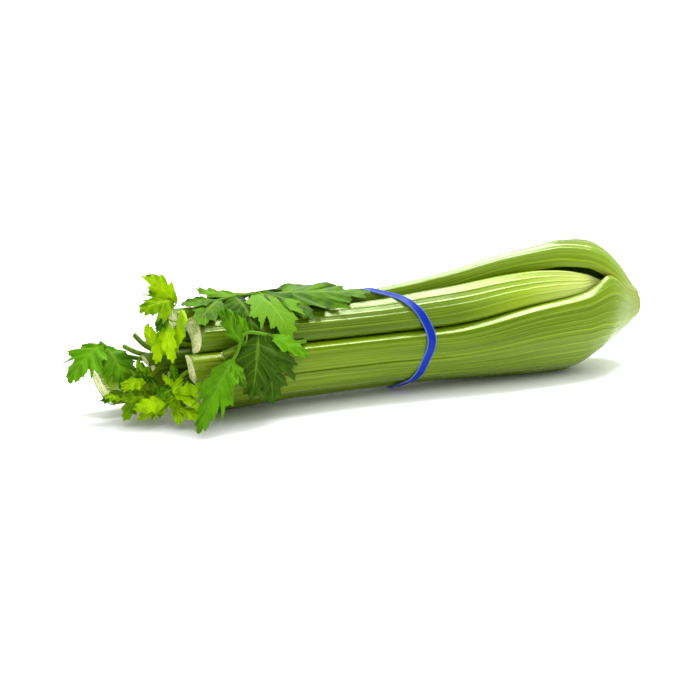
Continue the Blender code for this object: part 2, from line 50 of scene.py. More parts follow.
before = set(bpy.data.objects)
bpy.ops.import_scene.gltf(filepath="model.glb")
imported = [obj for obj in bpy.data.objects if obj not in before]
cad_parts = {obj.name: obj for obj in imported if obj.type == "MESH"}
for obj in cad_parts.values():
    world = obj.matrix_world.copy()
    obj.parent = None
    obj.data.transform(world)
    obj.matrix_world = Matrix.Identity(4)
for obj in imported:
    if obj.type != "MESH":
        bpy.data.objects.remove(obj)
cad_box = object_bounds()
BOX = np.array([list(corner) for corner in cad_box])

# The camera, worked out from the photograph's perspective
CAMERA_AT = (-550.2, -884.05, 283.57)
CAMERA_LOOKS_AT = (-156.6, 0.0, 31.5)
FOCAL_PIXELS, FRAME_PIXELS, SENSOR = 1410.0, 700.0, 36.0

# Light and floor: how bright each looks where paper white is 1, or the power of the ceiling's sun and
# its spread in degrees; where each light hangs and aims; the softboxes' sizes; the floor's reach in metres
WORLD_BRIGHTNESS = 0.72
CEILING_POWER, CEILING_SPREAD = 1.4, 80
CEILING_AT, CEILING_AIM = (-300, -500, 1500), (-130, 0, 40)
OVERHEAD_BRIGHTNESS, OVERHEAD_AT, OVERHEAD_SIZE = 24, (272, 141, 934), (430, 430)
BEHIND_BRIGHTNESS, BEHIND_AT, BEHIND_SIZE = 5.5, (290, 770, 510), (300, 480)
SOFTBOX_AIM = (-100, -10, 60)
FLOOR_REACH, FLOOR_WHITE = 60, 0.96

# The head's outline, as the solids have it: radius up, down and sideways. Here and below, the values
# stand at the distances from the butt that the list ending in AT gives
BUTT_X = 80.0
AXIS_Z = 39.5
OUTLINE_AT = (0, 8, 18, 30, 45, 67, 90, 120, 158, 198, 230, 275, 365, 415)
OUTLINE_UP = (14, 23, 35, 45.5, 54.5, 58.5, 55, 50.5, 43, 37, 34.2, 33.5, 35, 36)
OUTLINE_DOWN = (13.5, 17.5, 22.5, 28.5, 34.5, 40.8, 40.8, 39.2, 37.8, 37, 37, 37.5, 40.3, 40.3)
OUTLINE_SIDE = (14.5, 20, 27, 35, 41, 43, 44, 44, 40.5, 37, 35.5, 35.5, 38, 39)
# How far the butt end is raised, how thick the outer stalks' walls are and how much thicker near the
# butt, how square their sections are, how far ribs rise and how far the recessed stalk is set back
CLIMB_AT = (30, 45, 67)
CLIMB = (6, 3.5, 0)
WALL_AT = (0, 8, 18, 30, 45, 67, 120, 158, 198, 275, 415)
WALL = (4, 6, 8, 9, 9.5, 10.5, 12, 13, 13.5, 13.5, 13)
BASE_AT = (20, 40)
BASE_THICKER = (2.6, 1.0)
ROUND_AT = (0, 75, 125, 195, 415)
ROUNDNESS = (3.2, 4.2, 3.6, 2.5, 2.3)
RIB_AT = (0, 30, 75, 195, 415)
RIB_RISE = (0.1, 0.4, 0.75, 0.6, 0.55)
SETBACK_AT = (0, 45, 57, 67, 90, 120, 158, 195)
SETBACK = (12.5, 12.5, 9.5, 7, 4.6, 3.4, 1.6, 0)
# The inner and the heart stalks, the gap between layers, and the root plate
INNER_AT = (39, 45, 67, 120, 158, 198, 415)
INNER_RADIUS = (12, 15, 23, 23.5, 22, 21, 22)
INNER_WALL = 8.6
INNER_WHOLE = 20          # from this radius on, an inner stalk's wall is whole
HEART_AT = (43, 55, 95, 315, 365, 415)
HEART_RADIUS = (6, 8.5, 11, 9.5, 8.2, 6)
HEART_CORE, HEART_LEAST, HEART_MARGIN = 1.0, 5.0, 0.55
MARGIN_DEPTH = 0.62       # how deep in its wall a stalk's edges lie
RECESSED_WALL = 0.92      # the recessed stalk's wall beside the outer ones'
LAYER_GAP = 0.6
PLATE_AT = (0, 8, 18, 26, 33, 38)
PLATE_RADIUS = (9, 11, 13.5, 14.5, 10, 0)
PLATE_GAP = 0.5
PLATE_RINGS, PLATE_SIDES, PLATE_DIP = 12, 72, 0.35
PLATE_STATIONS = (3, 8, 13, 18, 22, 26, 30, 33)

# Where a stalk's low and high edge angles are given
EDGE_AT = (18, 39, 52, 75, 105, 180)


def same(angle):
    """An edge that keeps its angle all along the head."""
    return (angle,) * len(EDGE_AT)


Stalk = namedtuple("Stalk", "node piece layer low high start end lean")
STALKS = (
    Stalk("stalk_top", "top_stalk", "outer", (36.5, 51.5, 62.5, 69, 73, 74),
          (106, 108, 109, 110, 109, 104), 0, 334, (0.25, -0.20)),
    Stalk("stalk_front", "front_stalk", "outer", (-17, -10, -4, -3, -5, -16.5),
          (33.5, 47.4, 41.3, 34.8, 30.3, 17.8), 0, 364, (0.10, 0.15)),
    Stalk("stalk_front_low", "front_low_stalk", "outer", (-62, -60, -60, -60, -60, -62),
          (-19, -12, -6, -5, -7, -18.5), 0, 354, (0.15, -0.10)),
    Stalk("stalk_bottom", "bottom_stalk", "outer", (-114, -115, -116, -117, -116, -112),
          (-64, -62, -62, -62, -62, -64), 0, 359, (-0.10, 0.10)),
    Stalk("stalk_back_low", "back_low_stalk", "outer", (-160, -162, -163, -164, -163, -158),
          (-116, -117, -118, -119, -118, -114), 0, 410, (0.30, 0.20)),
    Stalk("stalk_back", "back_stalk", "outer", (152, 151, 150.5, 150, 151, 158),
          (198, 196, 195, 194, 195, 200), 0, 367, (-0.20, 0.10)),
    Stalk("stalk_back_top", "back_top_stalk", "outer", (108, 110, 111, 112, 111, 106),
          (150, 149, 148.5, 148, 149, 156), 0, 361, (0.15, 0.20)),
    Stalk("stalk_front_inner", "front_inner_stalk", "recessed", (47.3, 47.3, 42.5, 36, 31.5, 19.2),
          (50.4, 50.4, 59.5, 64, 69, 72.4), 41, 358, (0.30, -0.35)),
    Stalk("inner_front", "front_core_stalk", "inner", same(-44), same(42), 42, 335, (0.1, 0.2)),
    Stalk("inner_top", "top_core_stalk", "inner", same(46), same(132), 42, 346, (-0.2, 0.1)),
    Stalk("inner_back", "back_core_stalk", "inner", same(136), same(222), 42, 376, (0.15, -0.1)),
    Stalk("inner_bottom", "bottom_core_stalk", "inner", same(226), same(312), 42, 366, (0.1, 0.15)),
    Stalk("heart_front", "front_heart_stalk", "heart", same(-28), same(84), 45, 387, (0.4, 0.3)),
    Stalk("heart_back", "back_heart_stalk", "heart", same(92), same(204), 45, 329, (0.0, 0.0)),
    Stalk("heart_low", "low_heart_stalk", "heart", same(212), same(324), 45, 367, (-0.2, 0.2)),
)
# How each side of a stalk, the low one first, departs from its plain rounded section: how much squarer
# it is, where a slanted shoulder starts, as a share of the half-width, and its drop at the edge
Side = namedtuple("Side", "square shoulder drop")
PLAIN_SIDE = Side(1.0, 0.9, 0.0)
SIDES = {
    "stalk_top": (Side(1.6, 0.5, 6.5), PLAIN_SIDE),
    "stalk_front": (Side(6.0, 0.9, 0.0), Side(1.4, 0.48, 6.4)),
    "stalk_front_inner": (PLAIN_SIDE, Side(1.6, 0.62, 3.4)),
    "stalk_front_low": (PLAIN_SIDE, Side(6.0, 0.9, 0.0)),
}
SHOULDER_AT = (25, 60, 280, 340)
SHOULDER_FULL = (0.0, 1.0, 1.0, 0.5)
SHOULDER_KNEE = 0.12
SHOULDER_SMOOTH = 0.8     # how much of the ribs' rise is lost on a shoulder

# How far a stalk's low and high edges are moved to close the creases beside it, in degrees
CREASE_AT = (22, 45, 60, 170, 215)
CREASES = {
    "stalk_top": ((-1.3, -1.3, 0, 0, 0), (0, 0, 0, 0, 0)),
    "stalk_front": ((-1.35, -1.35, -1.35, -1.35, -0.8), (1.3, 1.3, 0.4, 0.4, 0.4)),
    "stalk_front_inner": ((0, 0, -0.5, -0.5, -0.5), (0, 0, 0, 0, 0)),
    "stalk_front_low": ((0, 0, 0, 0, 0), (1.35, 1.35, 1.35, 1.35, 0.8)),
}

# The ribs and cuts of each layer's stalks
RIBS = {"outer": 7, "recessed": 7, "inner": 4, "heart": 3}
RIB_PITCH = 6.5           # a rib's width in the pattern of streaks
STEPS_PER_RIB = {"outer": 12, "recessed": 12, "inner": 8, "heart": 8}
RIB_SHARPNESS = 0.13      # width of a rib's crest as a share of the spacing
RIB_SHIFT, RIB_LEAST = 0.2, 0.35      # how far a rib strays from its place, and how faint one may be
RIB_DRIFT, DRIFT_LENGTH = 0.08, 37    # how far all of them drift together, and over what length
RIB_RELIEF = 0.7          # a rib's rise, as a share of what the solids have
STATION_STEP = {"outer": 3.0, "recessed": 3.0, "inner": 6.0, "heart": 6.0}
LEAN_RUN = 26.0           # the last stretch takes the slant of the cut
CUT_STEPS = 9             # grid steps across a cut face
CUT_ROUGHNESS = 0.45      # how rough a cut is
CUT_DEPTH = 0.6           # how far it is sunk, as a share of its roughness
LEAST_WALL = 0.5
HOLLOW = 0.16             # how far the inner face is hollowed, as a share of the wall
SWAY = 0.35               # slow unevenness of a stalk's face
WELD = 0.002              # points nearer than this are one
# The length and weight of each wave of a face's unevenness and of a torn cut
SWAY_WAVES = ((110, 0.45), (46, 0.3), (19, 0.15), (9, 0.1))
TORN_WAVES = ((9, 0.4), (3.6, 0.3), (1.7, 0.3))
# An edge is sharp where its faces meet at this many degrees or more
SHARP_RIM, SHARP_STUB, SHARP_LEAF = 52, 50, 70

# The rubber band: angle round the head, then its distance from the butt there
BAND_ROUND = (-180, -135, -90, -55, -22, 8, 30, 50, 62, 95, 135, 180)
BAND_AT = (211, 208, 205, 201, 194.5, 191, 195, 202.5, 208, 225, 220, 211)
BAND_WIDTH, BAND_THICK, BAND_GAP = 6.5, 1.0, 0.35
BAND_STEPS, RING_STEPS = 180, 29

# Leaves
BLADE_THICK = 0.45
LEAF_CLEAR = 1.6          # how far a leaflet's middle stays off the bundle
LEAF_LAYER = 1.5          # and how much farther off each of the layers is
LEAF_LAYERS = 3
BLADE_FLOOR = 1.0         # the lowest that a leaflet's middle goes
CUTS_DONE = 373           # past here no stalk is in a leaflet's way
CUTS_RUN = 8              # and over what run that comes
ROW_STEPS, SIDE_STEPS = 6, 8
TOOTH = 0.09
PLEAT = 0.45
VEIN_WIDTH, MIDRIB_WIDTH, VEIN_STRENGTH = 0.11, 0.055, 0.75
WAVE_ALONG, WAVE_ACROSS = 2.4, 1.3
LEAST_TONE, MOST_TONE = -0.4, 1.2
PETIOLE_RADIUS, PETIOLE_STEPS, PETIOLE_SAG = 0.7, 12, Vector((0, -1.5, 0))
STEM_STEPS, STUB_STEPS = 60, 40
STEM_TAPER, PETIOLE_TAPER = 0.8, 0.7
STUB_CUT = 0.25           # a stub's points this near its end are its cut
STEM_LOOK = (0.6, 0.0, 0.4)      # a stem's share of the veins' colour and of the underside's, and its tone

# Half a leaflet of each form: where each vein leaves the midrib, its length, and its angle from the
# midrib; lengths are shares of the leaflet's own
LOBED = (
    (0.00, 0.030, 90), (0.10, 0.16, 84), (0.15, 0.34, 76), (0.19, 0.30, 66), (0.24, 0.50, 58),
    (0.29, 0.40, 50), (0.34, 0.54, 42), (0.40, 0.24, 46), (0.52, 0.33, 42), (0.60, 0.23, 36),
    (0.68, 0.28, 28), (0.78, 0.15, 24), (0.85, 0.14, 16), (1.00, 0.004, 4),
)
TOOTHED = (
    (0.00, 0.035, 90), (0.14, 0.18, 74), (0.22, 0.34, 60), (0.32, 0.25, 52), (0.42, 0.36, 42),
    (0.54, 0.24, 38), (0.64, 0.29, 28), (0.78, 0.15, 24), (0.86, 0.13, 16), (1.00, 0.004, 4),
)
BLUNT = (
    (0.00, 0.030, 90), (0.12, 0.10, 84), (0.24, 0.20, 70), (0.34, 0.36, 58), (0.42, 0.24, 52),
    (0.52, 0.42, 40), (0.60, 0.28, 36), (0.70, 0.44, 25), (0.80, 0.26, 20), (0.90, 0.30, 13), (0.95, 0.14, 6),
)
# A leaflet's base is a place along its shoot's stem, and its foot the end of its own little stalk. Its
# shade is added to its tone: more is lighter
Blade = namedtuple("Blade", "base tip normal width bow fold wave form foot shade", defaults=(LOBED, None, 0.0))
Spray = namedtuple("Spray", "node piece slot stem_radius stem blades", defaults=((),))


def rgb(red, green, blue):
    """A colour given in screen values, as the shader wants it."""
    def linear(value):
        value /= 255
        return value / 12.92 if value <= 0.04045 else ((value + 0.055) / 1.055) ** 2.4
    return (linear(red), linear(green), linear(blue), 1.0)


# Colours. A stalk's skin has its colours along the head, then those of a rib's crest, of its stripes
# and of its inner face. A leaf has a dark and a light green, its veins' and its underside's, and its
# roughness
SKIN_RUN = 0.4            # metres of the head over which the skin's colours run
SKIN_ROUGH = 0.1          # the skin's roughness
SKIN_ROUGHER = 0.07       # and how much rougher it is in its stripes
GREEN_GLOSS = (0.82, 1.0, 0.42, 1.0)
DRIED = rgb(186, 164, 96)
FLESH_DULL, FLESH_PALE, FLESH_GREEN, STRING = (
    rgb(204, 208, 118), rgb(246, 246, 210), rgb(150, 172, 54), rgb(112, 132, 30)
)
BAND_DARK, BAND_BLUE, BAND_WORN = rgb(0, 26, 124), rgb(0, 44, 160), rgb(96, 124, 205)
ROOT_RING, ROOT_RIM = rgb(190, 160, 96), rgb(150, 112, 58)
SKINS = {
    "stalk_green": ("stalk_skin", (
        (0.0, rgb(134, 142, 66)), (0.06, rgb(112, 138, 34)), (0.15, rgb(94, 121, 10)),
        (0.32, rgb(84, 111, 0)), (0.5, rgb(90, 118, 0)), (0.9, rgb(96, 122, 0)),
    ), rgb(150, 173, 34), rgb(50, 78, 0), rgb(122, 152, 34)),
    # The inner stalks' skin is darker than the outer skin along the neck. That darkness is painted shade for
    # the recessed and inner stalks, which sit in the outer ones' shade. Its paleness near the butt is its own
    # colour
    "inner_green": ("inner_stalk_skin", (
        (0.0, rgb(232, 236, 160)), (0.14, rgb(190, 200, 112)), (0.28, rgb(138, 164, 34)),
        (0.42, rgb(78, 105, 0)), (0.6, rgb(62, 88, 0)), (0.9, rgb(72, 100, 0)),
    ), rgb(150, 178, 48), rgb(58, 88, 0), rgb(116, 148, 28)),
}
LEAVES = {
    "leaf_dark": ("dark_leaf", rgb(2, 44, 0), rgb(84, 132, 8), rgb(124, 158, 50), rgb(84, 124, 26), 0.5),
    "leaf_mid": ("mid_leaf", rgb(42, 72, 4), rgb(84, 142, 4), rgb(112, 158, 44), rgb(84, 128, 24), 0.5),
    "leaf_bright": ("bright_leaf", rgb(40, 96, 0), rgb(156, 200, 0), rgb(178, 208, 36),
                    rgb(128, 172, 30), 0.45),
}


# Shapes along and round the head

def curve_through(at, values, place):
    """A smooth curve through the points of an outline that never overshoots them."""
    at, values = np.asarray(at, float), np.asarray(values, float)
    place = np.clip(place, at[0], at[-1])
    step = np.diff(at)
    slope = np.diff(values) / step
    product = slope[:-1] * slope[1:]
    total = np.where(product > 0, slope[:-1] + slope[1:], 1.0)
    tangent = np.concatenate(([0.0], np.where(product > 0, 2 * product / total, 0.0), [0.0]))
    i = np.clip(np.searchsorted(at, place, side="right") - 1, 0, len(step) - 1)
    t = (place - at[i]) / step[i]
    return (
        values[i] * (2 * t**3 - 3 * t**2 + 1)
        + values[i + 1] * (3 * t**2 - 2 * t**3)
        + step[i] * (tangent[i] * (t**3 - 2 * t**2 + t) + tangent[i + 1] * (t**3 - t**2))
    )


def outline_radius(place, angle):
    """Radius of the whole bundle at an angle, in degrees."""
    side = curve_through(OUTLINE_AT, OUTLINE_SIDE, place)
    across, upright = np.cos(np.radians(angle)), np.sin(np.radians(angle))
    up = curve_through(OUTLINE_AT, OUTLINE_UP, place)
    down = curve_through(OUTLINE_AT, OUTLINE_DOWN, place)
    return 1 / np.hypot(across / side, upright / np.where(upright > 0, up, down))


def rounded(u, roundness):
    """How full a rounded section is across its width, from 1 in the middle to 0 at its edges."""
    return (1 - np.abs(u) ** roundness) ** (1 / roundness)


def layer_faces(layer, place, angle):
    """Outer crest, margin and inner face of a stalk of this layer, as radii."""
    full = outline_radius(place, angle)
    wall = curve_through(WALL_AT, WALL, place)
    floor = np.interp(place, PLATE_AT, PLATE_RADIUS) + PLATE_GAP
    if layer == "outer":
        inner = np.maximum(full - wall * curve_through(BASE_AT, BASE_THICKER, place), floor)
        return full, full - MARGIN_DEPTH * np.minimum(full - inner, wall), inner
    setback = curve_through(SETBACK_AT, SETBACK, place)
    if layer == "recessed":
        crest = full - setback
        inner = np.maximum(crest - RECESSED_WALL * wall, floor)
        return crest, crest - MARGIN_DEPTH * (crest - inner), inner
    inner_crest = np.minimum(curve_through(INNER_AT, INNER_RADIUS, place), full - wall - setback - LAYER_GAP)
    if layer == "inner":
        inner = inner_crest - INNER_WALL * np.minimum(1.0, inner_crest / INNER_WHOLE)
        return inner_crest, 0.5 * (inner_crest + inner), inner
    most = inner_crest - INNER_WALL - LAYER_GAP
    crest = np.minimum(curve_through(HEART_AT, HEART_RADIUS, place), np.maximum(most, HEART_LEAST))
    return crest, HEART_MARGIN * crest, HEART_CORE + 0 * crest


def on_section(radius, angle):
    """A point (y, z) of a section."""
    turn = np.radians(angle)
    return -radius * np.cos(turn), AXIS_Z + radius * np.sin(turn)


def on_bundle(place, angle, out):
    """A point this far outside the bundle's outline."""
    y, z = on_section(outline_radius(place, angle) + out, angle)
    return (BUTT_X - place, float(y), float(z))


def in_heart(place, angle, radius=7.6):
    """A point among the cut ends, this far from the head's axis."""
    y, z = on_section(radius, angle)
    return (BUTT_X - place, float(y), float(z))


# Seeds of the random draws for stalks, their ribs and shoots
STALK_SEED, RIB_SEED, SPRAY_SEED = 1, 100, 40
SPRAYS = (
    Spray("leaf_top", "top_leaf", "leaf_dark", 1.5, (
        on_bundle(263, 105, -3.2), on_bundle(277, 105, -2.6), on_bundle(288, 103, 0.5),
        (-220, 3, 77), (-238, 1, 78), (-252, -2, 77), (-262, -4, 76),
    ), (
        Blade(3.1, (-145, -8, 72), (0, -0.2, 1), 0.72, 0.03, 0.15, 1.8, shade=-0.3),
        Blade(3.2, (-196, -25, 61), (0.2, -0.5, 0.8), 0.9, 0.16, 0.1, 1.6, TOOTHED, shade=-0.5),
        Blade(3.4, (-216, -36, 53), (0.1, -0.7, 0.7), 1.0, 0.16, 0.1, 1.8, shade=0.6),
        Blade(3.2, (-200, 35, 60), (0.2, 0.6, 0.8), 0.95, 0.15, 0.1, 1.0),
        Blade(3.8, (-244, 35, 62), (0, 0.6, 0.8), 1.0, 0.15, 0.1, 1.0),
        Blade(4.0, (-267, 8, 84), (0.2, -0.5, 0.9), 0.8, -0.05, 0.25, 0.8, TOOTHED),
        Blade(4.3, (-240, -33, 58), (0, -0.6, 0.8), 1.0, 0.15, 0.2, 1.6, shade=-0.4),
        Blade(5.2, (-278, -24, 64), (-0.1, -0.6, 0.8), 1.0, 0.12, 0.2, 1.5, TOOTHED, shade=0.4),
        Blade(5.7, (-283, -9, 74), (0, -0.5, 0.8), 1.0, 0.1, 0.2, 1.5, TOOTHED),
        Blade(5.4, (-270, 24, 70), (0, 0.5, 0.8), 1.0, 0.1, 0.2, 0.7, TOOTHED),
    )),
    Spray("leaf_front", "hanging_leaf", "leaf_mid", 1.4, (
        on_bundle(283, 18.5, -2.6), on_bundle(295, 18.5, -2.2), on_bundle(307, 24, 2.5),
        (-236, -40, 60), (-250, -41, 62), (-258, -46, 50), (-268, -49, 40),
    ), (
        Blade(2.6, (-206, -43, 42), (0.2, -0.9, 0.5), 0.7, 0.1, 0.1, 0.6, TOOTHED),
        Blade(3.0, (-233, -46, 14), (0.1, -1, 0.1), 1.1, 0.05, 0.15, 1.4, shade=-1.4),
        Blade(3.3, (-250, -51, 20), (-0.1, -1, 0.1), 0.95, 0.08, 0.15, 1.4, shade=-1.2),
        Blade(3.8, (-260, -30, 77), (-0.3, -0.9, 0.2), 0.8, 0.1, 0.3, 1.0, TOOTHED),
        Blade(5.2, (-289, -57, 4), (-0.5, -0.8, 0.3), 0.55, 0.08, 0.35, 1.2),
        Blade(5.4, (-255, -54, 29), (0.2, -0.9, 0.3), 0.9, 0.08, 0.25, 0.8, TOOTHED),
        Blade(3.9, (-263, -37, 76), (-0.6, -0.8, 0.3), 0.75, 0.2, 0.5, 1.6, BLUNT, (-251, -43, 55)),
    )),
    Spray("leaf_upper_left", "upright_leaf", "leaf_bright", 1.9, (
        in_heart(335, 102), in_heart(355, 102), (-289, -2, 55), (-293, -4, 65), (-289, -6, 76),
    ), (
        Blade(3.8, (-302, -5, 98.5), (-0.3, -0.9, 0.1), 0.9, 0.22, 0.3, 1.4, BLUNT, (-284, -4, 79)),
        Blade(3.6, (-312, -13, 77), (-0.2, -0.8, 0.5), 1.1, 0.2, 0.4, 1.5, LOBED, (-287, -6, 80)),
        Blade(3.3, (-291, -14, 45), (-0.3, -0.9, 0.2), 0.55, 0.14, 0.5, 1.2, TOOTHED, (-284, -10, 66)),
        Blade(3.2, (-306, -8, 67), (-0.6, -0.8, 0.1), 0.95, 0.16, 0.4, 1.2, TOOTHED, (-299, -6, 48)),
        Blade(3.35, (-302, -17, 63), (-0.5, -0.8, 0.3), 0.9, 0.1, 0.2, 0.8, TOOTHED),
        Blade(3.15, (-295, -28, 44), (-0.4, -0.8, 0.4), 0.6, 0.12, 0.2, 0.8, TOOTHED),
        Blade(2.7, (-303, -15, 41), (-0.5, -0.85, 0.1), 0.8, 0.1, 0.2, 0.8, TOOTHED),
        Blade(3.7, (-283, 21, 80), (-0.3, 0.2, 0.9), 0.9, 0.1, 0.2, 0.8, TOOTHED),
    )),
    Spray("leaf_left", "left_leaf", "leaf_mid", 1.8, (
        in_heart(335, 162), in_heart(360, 162), (-300, 12, 37.5), (-322, 12, 44), (-333, 12, 52.5),
    ), (
        Blade(3.85, (-357, 3, 30), (-0.6, -0.6, 0.5), 1.0, 0.1, 0.15, 1.3, shade=0.7),
        Blade(3.6, (-320, -1, 22), (0.2, -0.9, 0.3), 1.0, 0.14, 0.15, 1.3, shade=1.1),
        Blade(3.0, (-340, 38, 42), (-0.3, 0.5, 0.8), 0.85, 0.12, 0.2, 0.7, TOOTHED),
    )),
    Spray("leaf_low", "low_leaf", "leaf_bright", 1.8, (
        in_heart(335, 192), in_heart(365, 195), (-298, 3, 31), (-307, 0, 24), (-312, -2, 16),
    ), (
        Blade(3.7, (-337, 2, 15), (-0.1, -0.4, 0.9), 1.0, 0.06, 0.1, 0.8, TOOTHED),
        Blade(3.4, (-305, -16, 4), (0.1, -0.7, 0.7), 1.0, 0.08, 0.1, 0.8, TOOTHED),
        Blade(3.0, (-314, -13, 38), (-0.3, -0.9, 0.2), 1.0, 0.08, 0.1, 0.8, TOOTHED, shade=-1.0),
        Blade(3.8, (-326, -16, 5), (-0.2, -0.5, 0.8), 0.9, 0.08, 0.1, 0.8, TOOTHED, shade=-0.8),
        Blade(2.5, (-297, -10, 10), (0.2, -0.8, 0.5), 0.9, 0.08, 0.1, 0.8, TOOTHED),
        Blade(3.1, (-324, -14, 28), (-0.3, -0.8, 0.5), 1.0, 0.2, 0.4, 1.3, BLUNT, (-309, -9, 28)),
        Blade(2.9, (-314, -13, 45), (-0.6, -0.8, 0.1), 0.9, 0.2, 0.4, 1.3, TOOTHED, (-307, -7, 31)),
        Blade(3.6, (-327, -17, 21), (-0.1, -0.6, 0.8), 0.9, 0.14, 0.4, 1.4, LOBED, (-306, -12, 14)),
        Blade(3.8, (-314, -19, 8), (0.0, -0.7, 0.7), 1.0, 0.14, 0.4, 1.2, TOOTHED, (-298, -13, 8)),
        Blade(3.9, (-338, -12, 22), (-0.3, -0.6, 0.7), 0.7, 0.1, 0.4, 1.0, TOOTHED, (-325, -6, 17)),
    )),
    Spray("leaf_low_front", "low_front_leaf", "leaf_bright", 1.6, (
        in_heart(341, -16, 16), in_heart(360, -18, 17), (-290, -19, 28), (-292, -21, 18),
    ), (
        Blade(2.7, (-318, -21, 6), (-0.1, -0.6, 0.8), 0.62, 0.08, 0.15, 0.8),
        Blade(2.8, (-295, -36, 4), (0, -0.7, 0.7), 0.9, 0.08, 0.1, 0.8, TOOTHED),
        Blade(2.2, (-293, -20, 42), (-0.6, -0.7, 0.2), 0.8, 0.08, 0.1, 0.8, TOOTHED, shade=-1.2),
        Blade(2.7, (-285, -47, 16), (0.1, -0.7, 0.7), 0.75, 0.1, 0.05, 0.5, TOOTHED),
        Blade(2.3, (-307, -28, 22), (-0.3, -0.8, 0.3), 0.9, 0.08, 0.1, 0.8, TOOTHED, shade=-0.8),
        Blade(2.5, (-278, -43, 6), (0.1, -0.8, 0.6), 0.9, 0.14, 0.4, 1.2, TOOTHED, (-292, -31, 13)),
        Blade(2.4, (-290, -24, 30), (-0.5, -0.8, 0.2), 1.0, 0.16, 0.4, 1.2, BLUNT, (-297, -22, 17)),
        Blade(2.2, (-301, -24, 36), (-0.6, -0.7, 0.3), 0.8, 0.16, 0.4, 1.2, TOOTHED, (-294, -22, 27)),
        Blade(2.6, (-283, -36, 31), (0.1, -0.9, 0.4), 0.9, 0.16, 0.3, 1.2, BLUNT, (-292, -26, 20), 0.2),
        Blade(2.8, (-322, -24, 15), (-0.3, -0.8, 0.4), 0.9, 0.14, 0.3, 1.2, TOOTHED, (-300, -26, 17), 0.1),
    )),
    Spray("thin_stem_upper", "upper_thin_stem", "inner_green", 1.9, (
        in_heart(335, 132), in_heart(353, 132), in_heart(379, 128, 8.5), (-309, 14, 55),
    )),
    Spray("thin_stem_left", "left_thin_stem", "inner_green", 1.7, (
        in_heart(335, 150, 2.9), in_heart(381, 130, 4), (-319, 7, 50),
    )),
    Spray("side_stub", "side_stem_stub", "inner_green", 3.3, (
        on_bundle(327, 20, 3.9), on_bundle(345, 12, 4.4),
    )),
    Spray("leaf_back", "back_leaf", "leaf_dark", 1.4, (
        on_bundle(277, 157.5, -2.6), on_bundle(291, 157.5, -2.0), on_bundle(303, 156, 2.0),
        on_bundle(319, 155, 4), on_bundle(333, 154, 4),
    ), (
        Blade(2.4, (-222, 42, 22), (0, 1, 0.2), 1.0, 0.06, 0.15, 0.9),
        Blade(2.8, (-262, 46, 8), (0, 1, 0.2), 1.0, 0.06, 0.15, 0.9, TOOTHED),
        Blade(3.7, (-290, 44, 36), (0, 1, 0.3), 1.0, 0.06, 0.15, 0.9, TOOTHED),
    )),
)


# Meshes

def new_object(name, data):
    """An object in the scene, at the origin."""
    made = bpy.data.objects.new(name, data)
    bpy.context.scene.collection.objects.link(made)
    return made


def mesh_object(name, points, faces, numbers, material, sharp=None):
    """A smooth object from points in millimetres, held inside the solids' own box, with numbers kept
    for each point, and sharp where its faces meet at this many degrees or more."""
    mesh = bpy.data.meshes.new(name)
    held = np.clip(np.asarray(points, float) * MM, BOX[0], BOX[1])
    mesh.from_pydata(held.tolist(), [], faces)
    for key, values in numbers.items():
        values = np.asarray(values, np.float32)
        kind, field = ("FLOAT", "value") if values.ndim == 1 else ("FLOAT_VECTOR", "vector")
        mesh.attributes.new(key, kind, "POINT").data.foreach_set(field, values.ravel())
    mesh.materials.append(material)
    mesh.polygons.foreach_set("use_smooth", [True] * len(mesh.polygons))
    mesh.update()
    if sharp:
        mesh.set_sharp_from_angle(angle=math.radians(sharp))
    return new_object(name, mesh)


def mend(mesh, weld=0.0):
    """Turns every face of a closed mesh outwards, once points nearer than this are welded."""
    work = bmesh.new()
    work.from_mesh(mesh)
    if weld:
        bmesh.ops.remove_doubles(work, verts=work.verts, dist=weld * MM)
    bmesh.ops.recalc_face_normals(work, faces=work.faces)
    work.to_mesh(mesh)
    work.free()


def unevenness(seed, place, across):
    """A slow swell and dip along and across a stalk, between -1 and 1."""
    draw = np.random.default_rng(seed)
    total = np.zeros(np.broadcast(place, across).shape)
    for length, weight in SWAY_WAVES:
        slant, shift = draw.uniform(-2.5, 2.5), draw.uniform(0, 2 * math.pi)
        total += weight * np.sin(2 * math.pi * place / length + slant * across + shift)
    return total


def cut_relief(seed, y, z):
    """The torn, grainy face that a blunt cut leaves, between -1 and 1."""
    draw = np.random.default_rng(seed)
    total = np.zeros(y.shape)
    for length, weight in TORN_WAVES:
        for _ in range(2):
            turn, shift = draw.uniform(0, math.pi), draw.uniform(0, 2 * math.pi)
            across = y * math.cos(turn) + z * math.sin(turn)
            total += weight / 2 * np.sin(2 * math.pi * across / length + shift)
    return total


